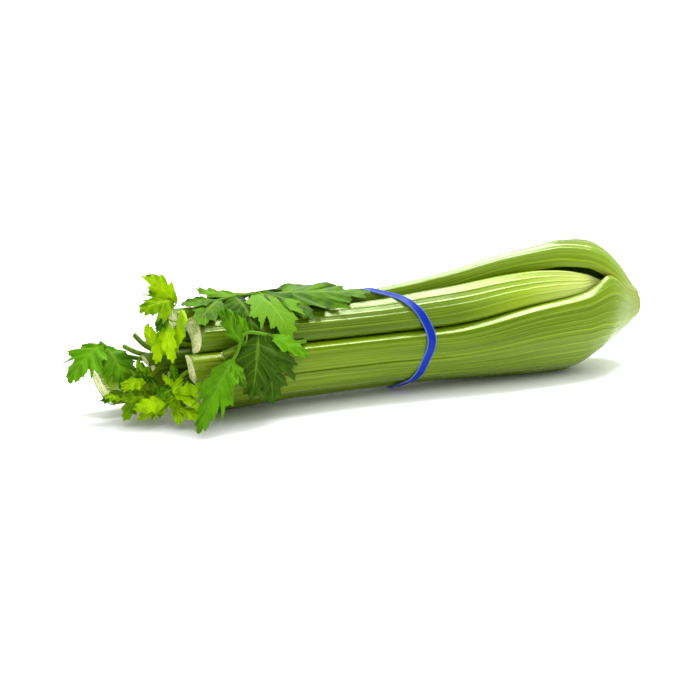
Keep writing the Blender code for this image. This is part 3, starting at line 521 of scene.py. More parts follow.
def stalk_rings(stalk, seed):
    """Outer and inner faces of a stalk as grids of radii, and numbers for its finish."""
    layer = stalk.layer
    ribs = RIBS[layer]
    u = np.linspace(-1, 1, ribs * STEPS_PER_RIB[layer] + 1)[None, :]
    steps = max(2, round((stalk.end - stalk.start) / STATION_STEP[layer]))
    place = np.linspace(stalk.start, stalk.end, steps + 1)[:, None]
    low, high = (curve_through(EDGE_AT, edge, place) for edge in (stalk.low, stalk.high))
    if stalk.node in CREASES:
        low = low + np.interp(place, CREASE_AT, CREASES[stalk.node][0])
        high = high + np.interp(place, CREASE_AT, CREASES[stalk.node][1])
    angle = low + (high - low) * (u + 1) / 2
    crest, margin, inner = layer_faces(layer, place, angle)
    left, right = SIDES.get(stalk.node, (PLAIN_SIDE, PLAIN_SIDE))
    shoulder = np.where(u < 0, left.shoulder, right.shoulder)
    past = np.maximum((np.abs(u) - shoulder) / (1 - shoulder), 0)
    drop = np.where(u < 0, left.drop, right.drop) * np.interp(place, SHOULDER_AT, SHOULDER_FULL)
    drop = drop * (np.sqrt(past**2 + SHOULDER_KNEE**2) - SHOULDER_KNEE)
    crest = crest - drop
    margin = np.maximum(margin - drop, inner + LEAST_WALL)
    roundness = curve_through(ROUND_AT, ROUNDNESS, place) * np.where(u < 0, left.square, right.square)
    smoothed = 1 - SHOULDER_SMOOTH * np.clip(3 * past, 0, 1)
    rise = RIB_RELIEF * curve_through(RIB_AT, RIB_RISE, place) * smoothed
    draw = np.random.default_rng(RIB_SEED + seed)
    shift = draw.uniform(-RIB_SHIFT, RIB_SHIFT, ribs + 1)
    strength = draw.uniform(RIB_LEAST, 1.0, ribs + 1)
    phase = (u + 1) / 2 * ribs + RIB_DRIFT * np.sin(place / DRIFT_LENGTH + seed)
    which = np.clip(np.floor(phase), 0, ribs).astype(int)
    rib = np.exp(-(((phase % 1) - 0.5 + shift[which]) / RIB_SHARPNESS) ** 2) * strength[which]
    fade = (1 - np.abs(u)) ** 0.3
    outer_radius = margin + (crest - margin) * rounded(u, roundness) - rise * fade * (1 - rib)
    outer_radius -= SWAY * (1 - u**2) * (0.6 + 0.6 * unevenness(seed, place, u))
    hollow = HOLLOW * (margin - inner) * (1 - u**2)
    inner_radius = margin - (margin - inner) * rounded(u, 5) + hollow
    flow = np.stack(np.broadcast_arrays(place, phase * RIB_PITCH, 50.0 * seed), axis=-1) * MM
    return place, angle, u, outer_radius, inner_radius, rib, flow


def build_stalk(stalk, seed, material):
    """A stalk: its ribbed outer face, its hollowed inner face and two cut ends."""
    place, angle, u, outer_radius, inner_radius, rib, flow = stalk_rings(stalk, seed)
    rows, columns = outer_radius.shape
    edge = np.abs(u)
    cut_y, cut_z = on_section(0.5 * (outer_radius[-1] + inner_radius[-1]), angle[-1])
    middle_y, middle_z = cut_y.mean(), cut_z.mean()

    def laid(radius):
        y, z = on_section(radius, angle)
        slant = stalk.lean[0] * (y - middle_y) + stalk.lean[1] * (z - middle_z)
        share = np.clip((place - (stalk.end - LEAN_RUN)) / LEAN_RUN, 0, 1)
        x = BUTT_X - place - slant * share
        return np.stack((x, y, np.maximum(z + curve_through(CLIMB_AT, CLIMB, place), 0.0)), axis=-1)

    outer, inner = laid(outer_radius), laid(inner_radius)
    points, faces = [], []
    numbers = {"rib": [], "inside": [], "margin": [], "cut": [], "flow": []}

    def keep(grid, grid_flow, **values):
        """Adds a grid of points and their numbers."""
        points.append(grid.reshape(-1, 3))
        numbers["flow"].append(np.broadcast_to(grid_flow, grid.shape).reshape(-1, 3))
        for key, value in values.items():
            numbers[key].append(np.broadcast_to(value, grid.shape[:2]).ravel())

    def top(i, j):
        return i * columns + j

    def under(i, j):
        if j in (0, columns - 1):
            return top(i, j)
        return rows * columns + i * (columns - 2) + j - 1

    keep(outer, flow, rib=rib, inside=0.0, margin=edge, cut=0.0)
    keep(inner[:, 1:-1], flow[:, 1:-1], rib=0.0, inside=1.0, margin=edge[:, 1:-1], cut=0.0)
    for i in range(rows - 1):
        for j in range(columns - 1):
            faces.append((top(i, j), top(i, j + 1), top(i + 1, j + 1), top(i + 1, j)))
            faces.append((under(i, j), under(i + 1, j), under(i + 1, j + 1), under(i, j + 1)))
    share = (np.arange(CUT_STEPS + 1) / CUT_STEPS)[None, :]
    for i, way in ((0, 1), (rows - 1, -1)):
        first = sum(len(grid) for grid in points)
        cut = outer[i][:, None] * (1 - share[..., None]) + inner[i][:, None] * share[..., None]
        rim = np.minimum(1.0, 5 * share * (1 - share)) * (1 - np.abs(u.T) ** 8)
        cut[..., 0] += way * CUT_ROUGHNESS * rim * (cut_relief(seed + i, cut[..., 1], cut[..., 2]) - CUT_DEPTH)
        keep(cut[1:-1], flow[i][1:-1, None], rib=rib[i][1:-1, None], inside=share,
             margin=edge[0][1:-1, None], cut=1.0)

        def on_cut(j, k, first=first, row=i):
            if j in (0, columns - 1):
                return top(row, j)
            return first + (j - 1) * (CUT_STEPS + 1) + k

        for j in range(columns - 1):
            for k in range(CUT_STEPS):
                corners = [on_cut(j, k), on_cut(j, k + 1), on_cut(j + 1, k + 1), on_cut(j + 1, k)]
                faces.append(tuple(dict.fromkeys(corners)))
    numbers = {key: np.concatenate(values) for key, values in numbers.items()}
    made = mesh_object(stalk.piece, np.concatenate(points), faces, numbers, material)
    mend(made.data, WELD)
    made.data.set_sharp_from_angle(angle=math.radians(SHARP_RIM))
    return made


# Finishes

FLOAT, COLOUR, VECTOR = "NodeSocketFloat", "NodeSocketColor", "NodeSocketVector"


def group_socket(tree, name, kind, way, value=None):
    """A named input or output of a node group."""
    socket = tree.interface.new_socket(name=name, in_out=way, socket_type=kind)
    if value is not None:
        socket.default_value = value


def pattern_group(name, build, inputs, outputs):
    """A shader node group with named inputs and outputs."""
    tree = bpy.data.node_groups.new(name, "ShaderNodeTree")
    for label, kind in inputs:
        group_socket(tree, label, kind, "INPUT")
    for label, kind in outputs:
        group_socket(tree, label, kind, "OUTPUT")
    build(tree, tree.nodes.new("NodeGroupInput"), tree.nodes.new("NodeGroupOutput"))
    return tree


def add(tree, kind, **settings):
    """A new node with these settings."""
    node = tree.nodes.new(kind)
    for key, value in settings.items():
        setattr(node, key, value)
    return node


def join(tree, source, target):
    tree.links.new(source, target)


def fill(node, **values):
    """Sets a node's inputs by name, with underscores for spaces."""
    for key, value in values.items():
        node.inputs[key.replace("_", " ")].default_value = value
    return node


def feed(tree, socket, value):
    """Sets a socket from another one, or from a number or a colour."""
    if isinstance(value, (int, float, tuple)):
        socket.default_value = value
    else:
        join(tree, value, socket)


def maths(tree, operation, first, second=None, clamp=False):
    """A Math node on two values, each a socket or a number."""
    node = add(tree, "ShaderNodeMath", operation=operation, use_clamp=clamp)
    feed(tree, node.inputs[0], first)
    if second is not None:
        feed(tree, node.inputs[1], second)
    return node.outputs[0]


def times(tree, first, second):
    return maths(tree, "MULTIPLY", first, second)


def plus(tree, first, second, clamp=False):
    return maths(tree, "ADD", first, second, clamp)


def layered(tree, colour, *layers):
    """A colour with others laid over it in turn, each with its amount. All are sockets or plain values."""
    for amount, over in layers:
        node = add(tree, "ShaderNodeMix", data_type="RGBA", blend_type="MIX")
        for socket, value in ((node.inputs[0], amount), (node.inputs[6], colour), (node.inputs[7], over)):
            feed(tree, socket, value)
        colour = node.outputs[2]
    return colour


def ramp(tree, source, stops):
    """A colour ramp: places from 0 to 1 and their colours."""
    node = add(tree, "ShaderNodeValToRGB")
    while len(node.color_ramp.elements) < len(stops):
        node.color_ramp.elements.new(0.5)
    for element, (place, colour) in zip(node.color_ramp.elements, stops):
        element.position = place
        element.color = colour
    join(tree, source, node.inputs[0])
    return node.outputs[0]


def value_ramp(tree, source, low, high, out_low=0.0, out_high=1.0):
    """Maps a range of values to another, held at its ends."""
    node = add(tree, "ShaderNodeMapRange", clamp=True)
    fill(node, From_Min=low, From_Max=high, To_Min=out_low, To_Max=out_high)
    join(tree, source, node.inputs["Value"])
    return node.outputs["Result"]


def node_at(tree, kind, at, **values):
    """A node that is fed a place, with its other inputs by name."""
    node = fill(add(tree, kind), **values)
    join(tree, at, node.inputs["Vector"])
    return node


def noise(tree, at, scale, detail, roughness=0.5):
    """The value of a noise texture at a place."""
    node = node_at(tree, "ShaderNodeTexNoise", at, Scale=scale, Detail=detail, Roughness=roughness)
    return node.outputs["Fac"]


def cells(tree, at, feature, scale, randomness):
    """A cell pattern's distance, from the cells' middles or their edges."""
    made = node_at(tree, "ShaderNodeTexVoronoi", at, Scale=scale, Randomness=randomness)
    made.feature = feature
    return made.outputs["Distance"]


def own_place(tree):
    return add(tree, "ShaderNodeTexCoord").outputs["Object"]


def kept(tree, key):
    """A number kept on the mesh's points."""
    return add(tree, "ShaderNodeAttribute", attribute_name=key).outputs["Fac"]


def build_streaks(tree, inside, outside):
    """Fine lines and broad stripes that run along the stalk, and waxy speckle. Flow is the distance from
    the butt, the place across the ribs and the stalk's own number."""
    for label, scale, detail, roughness in (
        ("Lines", (9.0, 760.0, 40.0), 4.0, 0.6), ("Broad", (6.0, 120.0, 40.0), 3.0, 0.55),
        ("Wax", (520.0, 900.0, 40.0), 3.0, 0.7),
    ):
        stretched = node_at(tree, "ShaderNodeMapping", inside.outputs["Flow"], Scale=scale)
        join(tree, noise(tree, stretched.outputs[0], 1.0, detail, roughness), outside.inputs[label])


def build_flesh(tree, inside, outside):
    """Pale, grainy flesh of a cut, with the green strings that end in it."""
    place = own_place(tree)
    grain = noise(tree, place, 900.0, 4.0, 0.75)
    patches = noise(tree, place, 190.0, 3.0, 0.6)
    dot = value_ramp(tree, cells(tree, place, "F1", 380.0, 0.9), 0.12, 0.3, 0.7, 0.0)
    colour = layered(
        tree, FLESH_DULL, (value_ramp(tree, grain, 0.38, 0.62), FLESH_PALE),
        (value_ramp(tree, patches, 0.46, 0.64, 0.0, 0.8), FLESH_GREEN), (dot, STRING),
    )
    join(tree, colour, outside.inputs["Colour"])
    join(tree, maths(tree, "SUBTRACT", grain, dot), outside.inputs["Height"])


def build_mottle(tree, inside, outside):
    """Soft patches, a fine network and crinkles on a leaf."""
    place = own_place(tree)
    net = cells(tree, place, "DISTANCE_TO_EDGE", 620.0, 1.0)
    join(tree, noise(tree, place, 85.0, 3.0, 0.6), outside.inputs["Patches"])
    join(tree, value_ramp(tree, net, 0.0, 0.16, 1.0, 0.0), outside.inputs["Net"])
    join(tree, noise(tree, place, 380.0, 3.0), outside.inputs["Crinkle"])


STREAKS = pattern_group(
    "streaks", build_streaks, (("Flow", VECTOR),), (("Lines", FLOAT), ("Broad", FLOAT), ("Wax", FLOAT)),
)
FLESH = pattern_group("flesh", build_flesh, (), (("Colour", COLOUR), ("Height", FLOAT)))
MOTTLE = pattern_group("mottle", build_mottle, (), (("Patches", FLOAT), ("Net", FLOAT), ("Crinkle", FLOAT)))


def new_material(name):
    made = bpy.data.materials.new(name)
    made.use_nodes = True
    return made, made.node_tree, made.node_tree.nodes["Principled BSDF"]


def placed(tree, group):
    return add(tree, "ShaderNodeGroup", node_tree=group)


def bump(tree, shader, height, strength, distance):
    """Small relief, its distance in millimetres."""
    node = fill(add(tree, "ShaderNodeBump"), Strength=strength, Distance=distance * MM)
    join(tree, height, node.inputs["Height"])
    join(tree, node.outputs["Normal"], shader.inputs["Normal"])


def stalk_finish(name, colours, crest, deep, hollow):
    """Waxy stalk skin that pales towards the butt, with lighter ribs and fibrous cut ends."""
    made, tree, shader = new_material(name)
    streaks, flesh = placed(tree, STREAKS), placed(tree, FLESH)
    flow = add(tree, "ShaderNodeAttribute", attribute_name="flow").outputs["Vector"]
    join(tree, flow, streaks.inputs["Flow"])
    split = add(tree, "ShaderNodeSeparateXYZ")
    join(tree, flow, split.inputs[0])
    from_butt = split.outputs["X"]
    along = value_ramp(tree, from_butt, 0.0, SKIN_RUN)
    rib, inside, margin, cut = (kept(tree, key) for key in ("rib", "inside", "margin", "cut"))
    lines, broad = streaks.outputs["Lines"], streaks.outputs["Broad"]
    crests = times(tree, value_ramp(tree, rib, 0.3, 1.0), value_ramp(tree, along, 0.1, 0.6, 0.7, 0.28))
    stripes = times(tree, value_ramp(tree, broad, 0.42, 0.66), value_ramp(tree, along, 0.08, 0.4, 0.12, 0.5))
    dry = times(tree, value_ramp(tree, margin, 0.95, 0.99), value_ramp(tree, from_butt, 0.02, 0.05, 0.85, 0.0))
    colour = layered(
        tree, ramp(tree, along, colours), (crests, crest), (stripes, deep),
        (value_ramp(tree, lines, 0.5, 0.72, 0.0, 0.4), crest), (value_ramp(tree, inside, 0.6, 0.9), hollow),
        (value_ramp(tree, margin, 0.93, 1.0, 0.0, 0.3), crest), (dry, DRIED),
        (times(tree, cut, value_ramp(tree, inside, 0.02, 0.14)), flesh.outputs["Colour"]),
    )
    join(tree, colour, shader.inputs["Base Color"])
    rough = value_ramp(tree, broad, 0.35, 0.65, SKIN_ROUGH, SKIN_ROUGH + SKIN_ROUGHER)
    rough = plus(tree, rough, times(tree, cut, 0.4))
    rough = plus(tree, rough, value_ramp(tree, along, 0.02, 0.12, 0.45, 0.0))
    join(tree, rough, shader.inputs["Roughness"])
    fill(shader, Specular_IOR_Level=0.42, Specular_Tint=GREEN_GLOSS)
    relief = plus(tree, times(tree, lines, 0.5), times(tree, streaks.outputs["Wax"], 1.5))
    cut_grain = times(tree, times(tree, flesh.outputs["Height"], 3.5), cut)
    bump(tree, shader, plus(tree, relief, cut_grain), 0.3, 0.28)
    return made


def leaf_finish(name, dark, light, vein, back, gloss):
    """A leaf's face: patches, pale veins and a fine network."""
    made, tree, shader = new_material(name)
    mottle = placed(tree, MOTTLE)
    patches, net = mottle.outputs["Patches"], mottle.outputs["Net"]
    on_vein, under = kept(tree, "vein"), kept(tree, "under")
    patchy = times(tree, value_ramp(tree, patches, 0.38, 0.62), 0.5)
    tone = plus(tree, patchy, times(tree, kept(tree, "tone"), 0.6), clamp=True)
    colour = layered(
        tree, dark, (tone, light), (times(tree, under, 0.75), back),
        (times(tree, net, 0.08), vein), (times(tree, on_vein, 0.45), vein),
    )
    join(tree, colour, shader.inputs["Base Color"])
    join(tree, value_ramp(tree, patches, 0.3, 0.7, gloss, gloss + 0.15), shader.inputs["Roughness"])
    fill(shader, Specular_IOR_Level=0.1, Specular_Tint=GREEN_GLOSS)
    relief = plus(tree, times(tree, net, -0.5), mottle.outputs["Crinkle"])
    bump(tree, shader, maths(tree, "SUBTRACT", relief, times(tree, on_vein, 0.8)), 0.4, 0.3)
    return made


def band_finish():
    """Blue rubber with paler worn edges."""
    made, tree, shader = new_material("band_rubber")
    grain = noise(tree, own_place(tree), 900.0, 3.0)
    blue = value_ramp(tree, grain, 0.3, 0.7)
    colour = layered(tree, BAND_DARK, (blue, BAND_BLUE), (kept(tree, "edge"), BAND_WORN))
    join(tree, colour, shader.inputs["Base Color"])
    fill(shader, Roughness=0.45, Specular_IOR_Level=0.16)
    bump(tree, shader, grain, 0.15, 0.1)
    return made


def root_finish():
    """The trimmed root plate: cream with rings, browned at its rim."""
    made, tree, shader = new_material("root_cut")
    flesh = placed(tree, FLESH)
    place = own_place(tree)
    middle = (0.0, 0.0, -(AXIS_Z + CLIMB[0]) * MM)
    centred = node_at(tree, "ShaderNodeMapping", place, Location=middle, Scale=(0.0, 1.0, 1.0))
    reach = add(tree, "ShaderNodeVectorMath", operation="LENGTH")
    join(tree, centred.outputs[0], reach.inputs[0])
    from_middle = plus(tree, reach.outputs["Value"], times(tree, noise(tree, place, 160.0, 3.0), 0.004))
    rings = maths(tree, "SINE", times(tree, from_middle, 2600.0))
    colour = layered(
        tree, flesh.outputs["Colour"], (value_ramp(tree, rings, -0.2, 1.0, 0.0, 0.4), ROOT_RING),
        (value_ramp(tree, from_middle, 0.007, 0.013, 0.0, 0.75), ROOT_RIM),
    )
    join(tree, colour, shader.inputs["Base Color"])
    fill(shader, Roughness=0.62)
    bump(tree, shader, plus(tree, flesh.outputs["Height"], times(tree, rings, 0.5)), 0.5, 0.4)
    return made


# Leafy shoots

def along_stem(stem, place):
    """A point of a stem: 3.5 is halfway from its fourth point to its fifth."""
    first = min(int(place), len(stem) - 2)
    return Vector(stem[first]).lerp(Vector(stem[first + 1]), place - first)


def pushed_out(points, clear):
    """Moves points of a leaf off the bundle, where they would lie inside it."""
    place = BUTT_X - points[..., 0]
    y, z = points[..., 1], points[..., 2]
    angle = np.degrees(np.arctan2(z - AXIS_Z, -y))
    radius = np.hypot(y, z - AXIS_Z)
    covered = np.clip((CUTS_DONE - place) / CUTS_RUN, 0, 1)
    least = (outline_radius(place, angle) + clear) * covered
    out_y, out_z = on_section(np.maximum(radius, least), angle)
    return np.stack((points[..., 0], out_y, np.maximum(out_z, BLADE_FLOOR)), axis=-1)


def blade_grid(blade, layer, stem):
    """The middle surface of a leaflet as a grid of points, and where its veins run."""
    base = Vector(blade.foot) if blade.foot else along_stem(stem, blade.base)
    tip = Vector(blade.tip)
    length = (tip - base).length
    along = (tip - base).normalized()
    across = Vector(blade.normal).cross(along).normalized()
    face = along.cross(across)
    form = np.array(blade.form)
    rows = len(form)
    r = np.linspace(0, rows - 1, (rows - 1) * ROW_STEPS + 1)[:, None]
    c = np.linspace(-1, 1, 2 * SIDE_STEPS + 1)[None, :]
    start, reach, turn = (np.interp(r, np.arange(rows), form[:, k]) for k in range(3))
    reach = reach * (1 + TOOTH * (1 - 2 * np.abs((1.5 * r + 0.25 * np.sign(c)) % 1 - 0.5)) * (reach > 0.06))
    turn = np.radians(turn)
    x = (start + np.abs(c) * reach * np.cos(turn)) * length
    y = c * reach * np.sin(turn) * length * blade.width
    share = np.minimum(x / length, 1.0)
    height = 4 * blade.bow * share * (1 - share) * length - blade.fold * np.abs(y)
    height = height + blade.wave * np.abs(c) * np.sin(WAVE_ALONG * r + WAVE_ACROSS * c)
    lobes = [k for k in range(1, rows - 1) if form[k, 1] > form[k - 1, 1] and form[k, 1] >= form[k + 1, 1]]
    vein = np.zeros((len(r), c.shape[1]))
    for k in lobes:
        vein = np.maximum(vein, np.exp(-((r - k) / VEIN_WIDTH) ** 2) * (1 - np.abs(c) ** 3))
    height = height - PLEAT * vein * np.abs(c) * 1.4 + PLEAT * 0.5 * np.abs(c)
    vein = np.maximum(vein * VEIN_STRENGTH, np.exp(-(c / MIDRIB_WIDTH) ** 2))
    points = (
        np.array(base) + x[..., None] * np.array(along) + y[..., None] * np.array(across)
        + height[..., None] * np.array(face)
    )
    moved = pushed_out(points, LEAF_CLEAR + layer * LEAF_LAYER)
    moved[:3] = points[:3]
    return moved, vein


def blade_shell(points, vein):
    """Both faces and the rim of a leaflet: its points, faces, veins and which points are underneath."""
    rows, columns = points.shape[:2]
    down = np.gradient(points, axis=0)
    sideways = np.gradient(points, axis=1)
    away = np.cross(sideways, down)      # away from the leaflet's own face, so this side is its underside
    away /= np.maximum(np.linalg.norm(away, axis=-1, keepdims=True), 1e-9)
    half = 0.5 * BLADE_THICK * np.ones((rows, columns, 1))
    back, front = points + away * half, points - away * half
    faces = []
    size = rows * columns
    for i in range(rows - 1):
        for j in range(columns - 1):
            a, b = i * columns + j, (i + 1) * columns + j
            faces.append((a, a + 1, b + 1, b))
            faces.append((a + size, b + size, b + 1 + size, a + 1 + size))
    rim = list(range(columns))
    rim += [i * columns + columns - 1 for i in range(1, rows)]
    rim += [(rows - 1) * columns + j for j in range(columns - 2, -1, -1)]
    rim += [i * columns for i in range(rows - 2, 0, -1)]
    for a, b in zip(rim, rim[1:] + rim[:1]):
        faces.append((b, a, a + size, b + size))
    shell = np.concatenate((back.reshape(-1, 3), front.reshape(-1, 3)))
    return shell, faces, np.tile(vein.ravel(), 2), np.repeat((1.0, 0.0), size)


def taper_tube_tree():
    """Geometry nodes that turn a line into a smooth stem, thicker at its root."""
    tree = bpy.data.node_groups.new("taper_tube", "GeometryNodeTree")
    for label, kind, value in (
        ("Line", "NodeSocketGeometry", None), ("Root radius", FLOAT, 0.002), ("Tip radius", FLOAT, 0.001),
        ("Steps", "NodeSocketInt", STEM_STEPS), ("Finish", "NodeSocketMaterial", None),
    ):
        group_socket(tree, label, kind, "INPUT", value)
    group_socket(tree, "Stem", "NodeSocketGeometry", "OUTPUT")
    given, resampled = add(tree, "NodeGroupInput"), add(tree, "GeometryNodeResampleCurve")
    radius, swept = add(tree, "GeometryNodeSetCurveRadius"), add(tree, "GeometryNodeCurveToMesh")
    finish, size = add(tree, "GeometryNodeSetMaterial"), add(tree, "ShaderNodeMapRange")
    circle = fill(add(tree, "GeometryNodeCurvePrimitiveCircle"), Resolution=16, Radius=1.0)
    chain = (
        given, add(tree, "GeometryNodeMeshToCurve"),
        add(tree, "GeometryNodeCurveSplineType", spline_type="CATMULL_ROM"), resampled, radius, swept,
        add(tree, "GeometryNodeRealizeInstances"), finish, add(tree, "NodeGroupOutput"),
    )
    for before, after in zip(chain, chain[1:]):
        join(tree, before.outputs[0], after.inputs[0])
    fill(swept, Fill_Caps=True)
    join(tree, given.outputs["Steps"], resampled.inputs["Count"])
    join(tree, add(tree, "GeometryNodeSplineParameter").outputs["Factor"], size.inputs["Value"])
    join(tree, given.outputs["Root radius"], size.inputs["To Min"])
    join(tree, given.outputs["Tip radius"], size.inputs["To Max"])
    join(tree, size.outputs["Result"], radius.inputs["Radius"])
    join(tree, circle.outputs[0], swept.inputs["Profile Curve"])
    if "Scale" in swept.inputs:
        join(tree, size.outputs["Result"], swept.inputs["Scale"])
    join(tree, given.outputs["Finish"], finish.inputs["Material"])
    return tree


TAPER_TUBE = taper_tube_tree()


def set_inputs(modifier, values):
    """Sets Geometry Nodes inputs by their labels."""
    for item in modifier.node_group.interface.items_tree:
        if item.item_type == "SOCKET" and item.in_out == "INPUT" and item.name in values:
            modifier[item.identifier] = values[item.name]


def stem_mesh(points, root, tip, material, steps=STEM_STEPS):
    """A stem through its points, as points and faces in millimetres."""
    mesh = bpy.data.meshes.new("stem_line")
    mesh.from_pydata([Vector(p) * MM for p in points], [(i, i + 1) for i in range(len(points) - 1)], [])
    line = new_object("stem_line", mesh)
    tube = line.modifiers.new("tube", "NODES")
    tube.node_group = TAPER_TUBE
    set_inputs(tube, {"Root radius": root * MM, "Tip radius": tip * MM, "Steps": steps, "Finish": material})
    swept = bpy.data.meshes.new_from_object(line.evaluated_get(bpy.context.evaluated_depsgraph_get()))
    mend(swept, 0.5 * WELD)
    places = np.array([tuple(v.co / MM) for v in swept.vertices])
    faces = [tuple(face.vertices) for face in swept.polygons]
    bpy.data.objects.remove(line)
    bpy.data.meshes.remove(swept)
    return places, faces


def build_spray(spray, seed, material):
    """A leafy shoot: its tapering stem and its veined leaflets, some on little stalks of their own."""
    draw = np.random.default_rng(seed)
    points, faces = [], []
    numbers = {"vein": [], "under": [], "tone": []}

    def keep(part, part_faces, *values):
        """Adds points, faces and the numbers, each one for all the points or one for each."""
        first = sum(len(placed_part) for placed_part in points)
        points.append(part)
        faces.extend(tuple(first + v for v in face) for face in part_faces)
        for key, value in zip(numbers, values):
            numbers[key].append(np.broadcast_to(value, len(part)))

    keep(*stem_mesh(spray.stem, spray.stem_radius, STEM_TAPER * spray.stem_radius, material), *STEM_LOOK)
    for k, blade in enumerate(spray.blades):
        grid, vein = blade_grid(blade, k % LEAF_LAYERS, spray.stem)
        keep(*blade_shell(grid, vein), draw.uniform(LEAST_TONE, MOST_TONE) + blade.shade)
        if blade.foot:
            root, foot = along_stem(spray.stem, blade.base), Vector(blade.foot)
            path = (root, root.lerp(foot, 0.5) + PETIOLE_SAG, foot, foot.lerp(Vector(blade.tip), 0.12))
            tip_radius = PETIOLE_TAPER * PETIOLE_RADIUS
            keep(*stem_mesh(path, PETIOLE_RADIUS, tip_radius, material, PETIOLE_STEPS), *STEM_LOOK)
    numbers = {key: np.concatenate(values) for key, values in numbers.items()}
    return mesh_object(spray.piece, np.concatenate(points), faces, numbers, material, SHARP_LEAF)


def build_stub(spray, material):
    """A bare stem with a cut end."""
    places, faces = stem_mesh(spray.stem, spray.stem_radius, spray.stem_radius, material, STUB_STEPS)
    x, y, z = places.T
    cut, zeros = (x < x.min() + STUB_CUT).astype(float), np.zeros(len(x))
    flow = np.stack((BUTT_X - x, y, z), axis=-1) * MM
    numbers = {"rib": zeros, "inside": cut, "margin": zeros, "cut": cut, "flow": flow}
    return mesh_object(spray.piece, places, faces, numbers, material, SHARP_STUB)


# The rubber band and the root plate

def bundle_ring(place):
    """The convex outline round the outer stalks at this distance from the butt, as (y, z) points."""
    points = []
    u = np.linspace(-1, 1, RING_STEPS)
    roundness = curve_through(ROUND_AT, ROUNDNESS, place)
    for stalk in STALKS:
        if stalk.layer in ("outer", "recessed"):
            low, high = stalk.low[-1], stalk.high[-1]
            angle = low + (high - low) * (u + 1) / 2
            crest, margin, _ = layer_faces(stalk.layer, place, angle)
            y, z = on_section(margin + (crest - margin) * rounded(u, roundness), angle)
            points += list(zip(y.tolist(), z.tolist()))
    points.sort()

    def half(run):
        chain = []
        for p in run:
            while len(chain) > 1 and (
                (chain[-1][0] - chain[-2][0]) * (p[1] - chain[-2][1])
                - (chain[-1][1] - chain[-2][1]) * (p[0] - chain[-2][0])
            ) <= 0:
                chain.pop()
            chain.append(p)
        return chain[:-1]

    return half(points) + half(points[::-1])


def stretched_radius(ring, angle):
    """Radius of the convex outline at an angle: where a stretched band lies."""
    turn = math.radians(angle)
    dy, dz = -math.cos(turn), math.sin(turn)
    best = 0.0
    for (y0, z0), (y1, z1) in zip(ring, ring[1:] + ring[:1]):
        ey, ez = y1 - y0, z1 - z0
        det = dz * ey - dy * ez
        if abs(det) < 1e-9:
            continue
        reach = ((z0 - AXIS_Z) * ey - y0 * ez) / det
        share = (dy * (z0 - AXIS_Z) - dz * y0) / det
        if reach > best and -1e-9 <= share <= 1 + 1e-9:
            best = reach
    return best


# The band's cross-section: share of the width, share of the thickness, paleness of the edge
BAND_SECTION = (
    (-0.5, 0.25, 1.0), (-0.5, 0.75, 1.0), (-0.46, 1.0, 0.8), (-0.38, 1.0, 0.0), (-0.30, 0.9, 0.0),
    (0.0, 0.88, 0.0), (0.30, 0.9, 0.0), (0.38, 1.0, 0.0), (0.46, 1.0, 0.8), (0.5, 0.75, 1.0), (0.5, 0.25, 1.0),
    (0.46, 0.0, 0.5), (0.0, 0.0, 0.0), (-0.46, 0.0, 0.5),
)


def build_band(material):
    """The flat rubber band, a little raised at its edges."""
    rings = {}
    points, edges = [], []
    for k in range(BAND_STEPS):
        angle = 360 * k / BAND_STEPS - 180
        middle = float(curve_through(BAND_ROUND, BAND_AT, angle))
        for across, out, pale in BAND_SECTION:
            place = middle + across * BAND_WIDTH
            step = round(place)
            if step not in rings:
                rings[step] = bundle_ring(step)
            radius = stretched_radius(rings[step], angle) + BAND_GAP + out * BAND_THICK
            y, z = on_section(radius, angle)
            points.append((BUTT_X - place, y, z))
            edges.append(pale)
    count = len(BAND_SECTION)
    faces = []
    for k in range(BAND_STEPS):
        for j in range(count):
            a, b = k * count + j, k * count + (j + 1) % count
            c, d = (k + 1) % BAND_STEPS * count + (j + 1) % count, (k + 1) % BAND_STEPS * count + j
            faces.append((a, b, c, d))
    made = mesh_object("blue_rubber_band", points, faces, {"edge": edges}, material)
    mend(made.data)
    return made


def build_root_plate(material):
    """The trimmed root plate, slightly uneven where it was cut."""
    middle_z = AXIS_Z + CLIMB[0]
    profile = [(0.0, PLATE_RADIUS[0] * k / PLATE_RINGS) for k in range(1, PLATE_RINGS + 1)]
    profile += [(float(place), float(np.interp(place, PLATE_AT, PLATE_RADIUS))) for place in PLATE_STATIONS]
    sides = PLATE_SIDES
    points = [(BUTT_X, 0.0, middle_z)]
    for place, radius in profile:
        for k in range(sides):
            turn = 2 * math.pi * k / sides
            fade = (place == 0.0) * min(1.0, (PLATE_RADIUS[0] - radius) / 3)
            dip = PLATE_DIP * math.sin(3 * turn + radius) * fade
            y, z = radius * math.cos(turn), middle_z + radius * math.sin(turn)
            points.append((BUTT_X - place - abs(dip), y, z))
    points.append((BUTT_X - PLATE_AT[-1], 0.0, middle_z))
    faces = [(0, 1 + k, 1 + (k + 1) % sides) for k in range(sides)]
    for i in range(len(profile) - 1):
        for k in range(sides):
            a, b = 1 + i * sides + k, 1 + i * sides + (k + 1) % sides
            faces.append((a, a + sides, b + sides, b))
    last = 1 + (len(profile) - 1) * sides
    faces += [(len(points) - 1, last + (k + 1) % sides, last + k) for k in range(sides)]
    made = mesh_object("root_cut_plate", points, faces, {}, material)
    mend(made.data)
    made.data.set_sharp_from_angle(angle=math.radians(SHARP_STUB))
    return made


# Camera, floor and light

def aim(made, at, towards):
    at, towards = Vector(at) * MM, Vector(towards) * MM
    made.location = at
    made.rotation_euler = (towards - at).to_track_quat("-Z", "Y").to_euler()


def place_camera():
    data = bpy.data.cameras.new("camera")
    data.sensor_width = SENSOR
    data.lens = FOCAL_PIXELS / FRAME_PIXELS * SENSOR
    camera = new_object("camera", data)
    aim(camera, CAMERA_AT, CAMERA_LOOKS_AT)
    bpy.context.scene.camera = camera


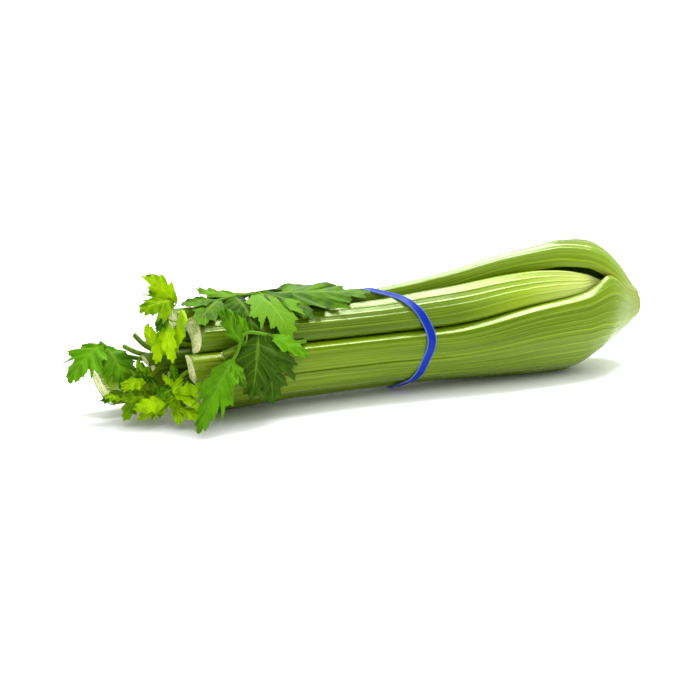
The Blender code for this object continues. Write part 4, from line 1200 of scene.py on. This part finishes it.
def place_softbox(name, at, size, brightness):
    """A soft light of this many millimetres each way, as bright as its panel should look."""
    data = bpy.data.lights.new(name, "AREA")
    data.shape = "RECTANGLE"
    data.size, data.size_y = size[0] * MM, size[1] * MM
    data.energy = brightness * math.pi * data.size * data.size_y
    lamp = new_object(name, data)
    lamp.visible_camera = False
    aim(lamp, at, SOFTBOX_AIM)


def place_surroundings():
    """A plain pale floor and soft studio light."""
    world = bpy.data.worlds.new("pale_studio")
    world.use_nodes = True
    fill(world.node_tree.nodes["Background"], Color=(1.0, 1.0, 1.0, 1.0), Strength=WORLD_BRIGHTNESS)
    bpy.context.scene.world = world
    bpy.context.scene.view_settings.view_transform = "Standard"
    sun = bpy.data.lights.new("ceiling", "SUN")
    sun.energy = CEILING_POWER
    sun.angle = math.radians(CEILING_SPREAD)
    aim(new_object("ceiling", sun), CEILING_AT, CEILING_AIM)
    place_softbox("overhead_softbox", OVERHEAD_AT, OVERHEAD_SIZE, OVERHEAD_BRIGHTNESS)
    place_softbox("softbox_behind", BEHIND_AT, BEHIND_SIZE, BEHIND_BRIGHTNESS)
    mesh = bpy.data.meshes.new("floor")
    corners = [(x * FLOOR_REACH, y * FLOOR_REACH, 0) for x, y in ((-1, -1), (1, -1), (1, 1), (-1, 1))]
    mesh.from_pydata(corners, [], [(0, 1, 2, 3)])
    made, _, shader = new_material("pale_floor")
    white = (FLOOR_WHITE, FLOOR_WHITE, FLOOR_WHITE, 1.0)
    fill(shader, Base_Color=white, Roughness=0.9, Specular_IOR_Level=0.2)
    mesh.materials.append(made)
    new_object("floor", mesh)


def dress():
    """Every piece of the head, in place of its plain solid."""
    finishes = {slot: stalk_finish(*look) for slot, look in SKINS.items()}
    finishes.update({slot: leaf_finish(*look) for slot, look in LEAVES.items()})
    pieces = []
    for seed, stalk in enumerate(STALKS, STALK_SEED):
        # Stalks set back among the outer ones take the inner skin, with its painted shade along the neck
        slot = "stalk_green" if stalk.layer == "outer" else "inner_green"
        pieces.append((build_stalk(stalk, seed, finishes[slot]), stalk.node, slot))
    for seed, spray in enumerate(SPRAYS, SPRAY_SEED):
        finish = finishes[spray.slot]
        piece = build_spray(spray, seed, finish) if spray.blades else build_stub(spray, finish)
        pieces.append((piece, spray.node, spray.slot))
    pieces.append((build_band(band_finish()), "rubber_band", "band_blue"))
    pieces.append((build_root_plate(root_finish()), "root_plate", "root_cream"))
    for piece, node, slot in pieces:
        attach(piece, "root")
        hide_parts(node)


place_camera()
place_surroundings()
dress()
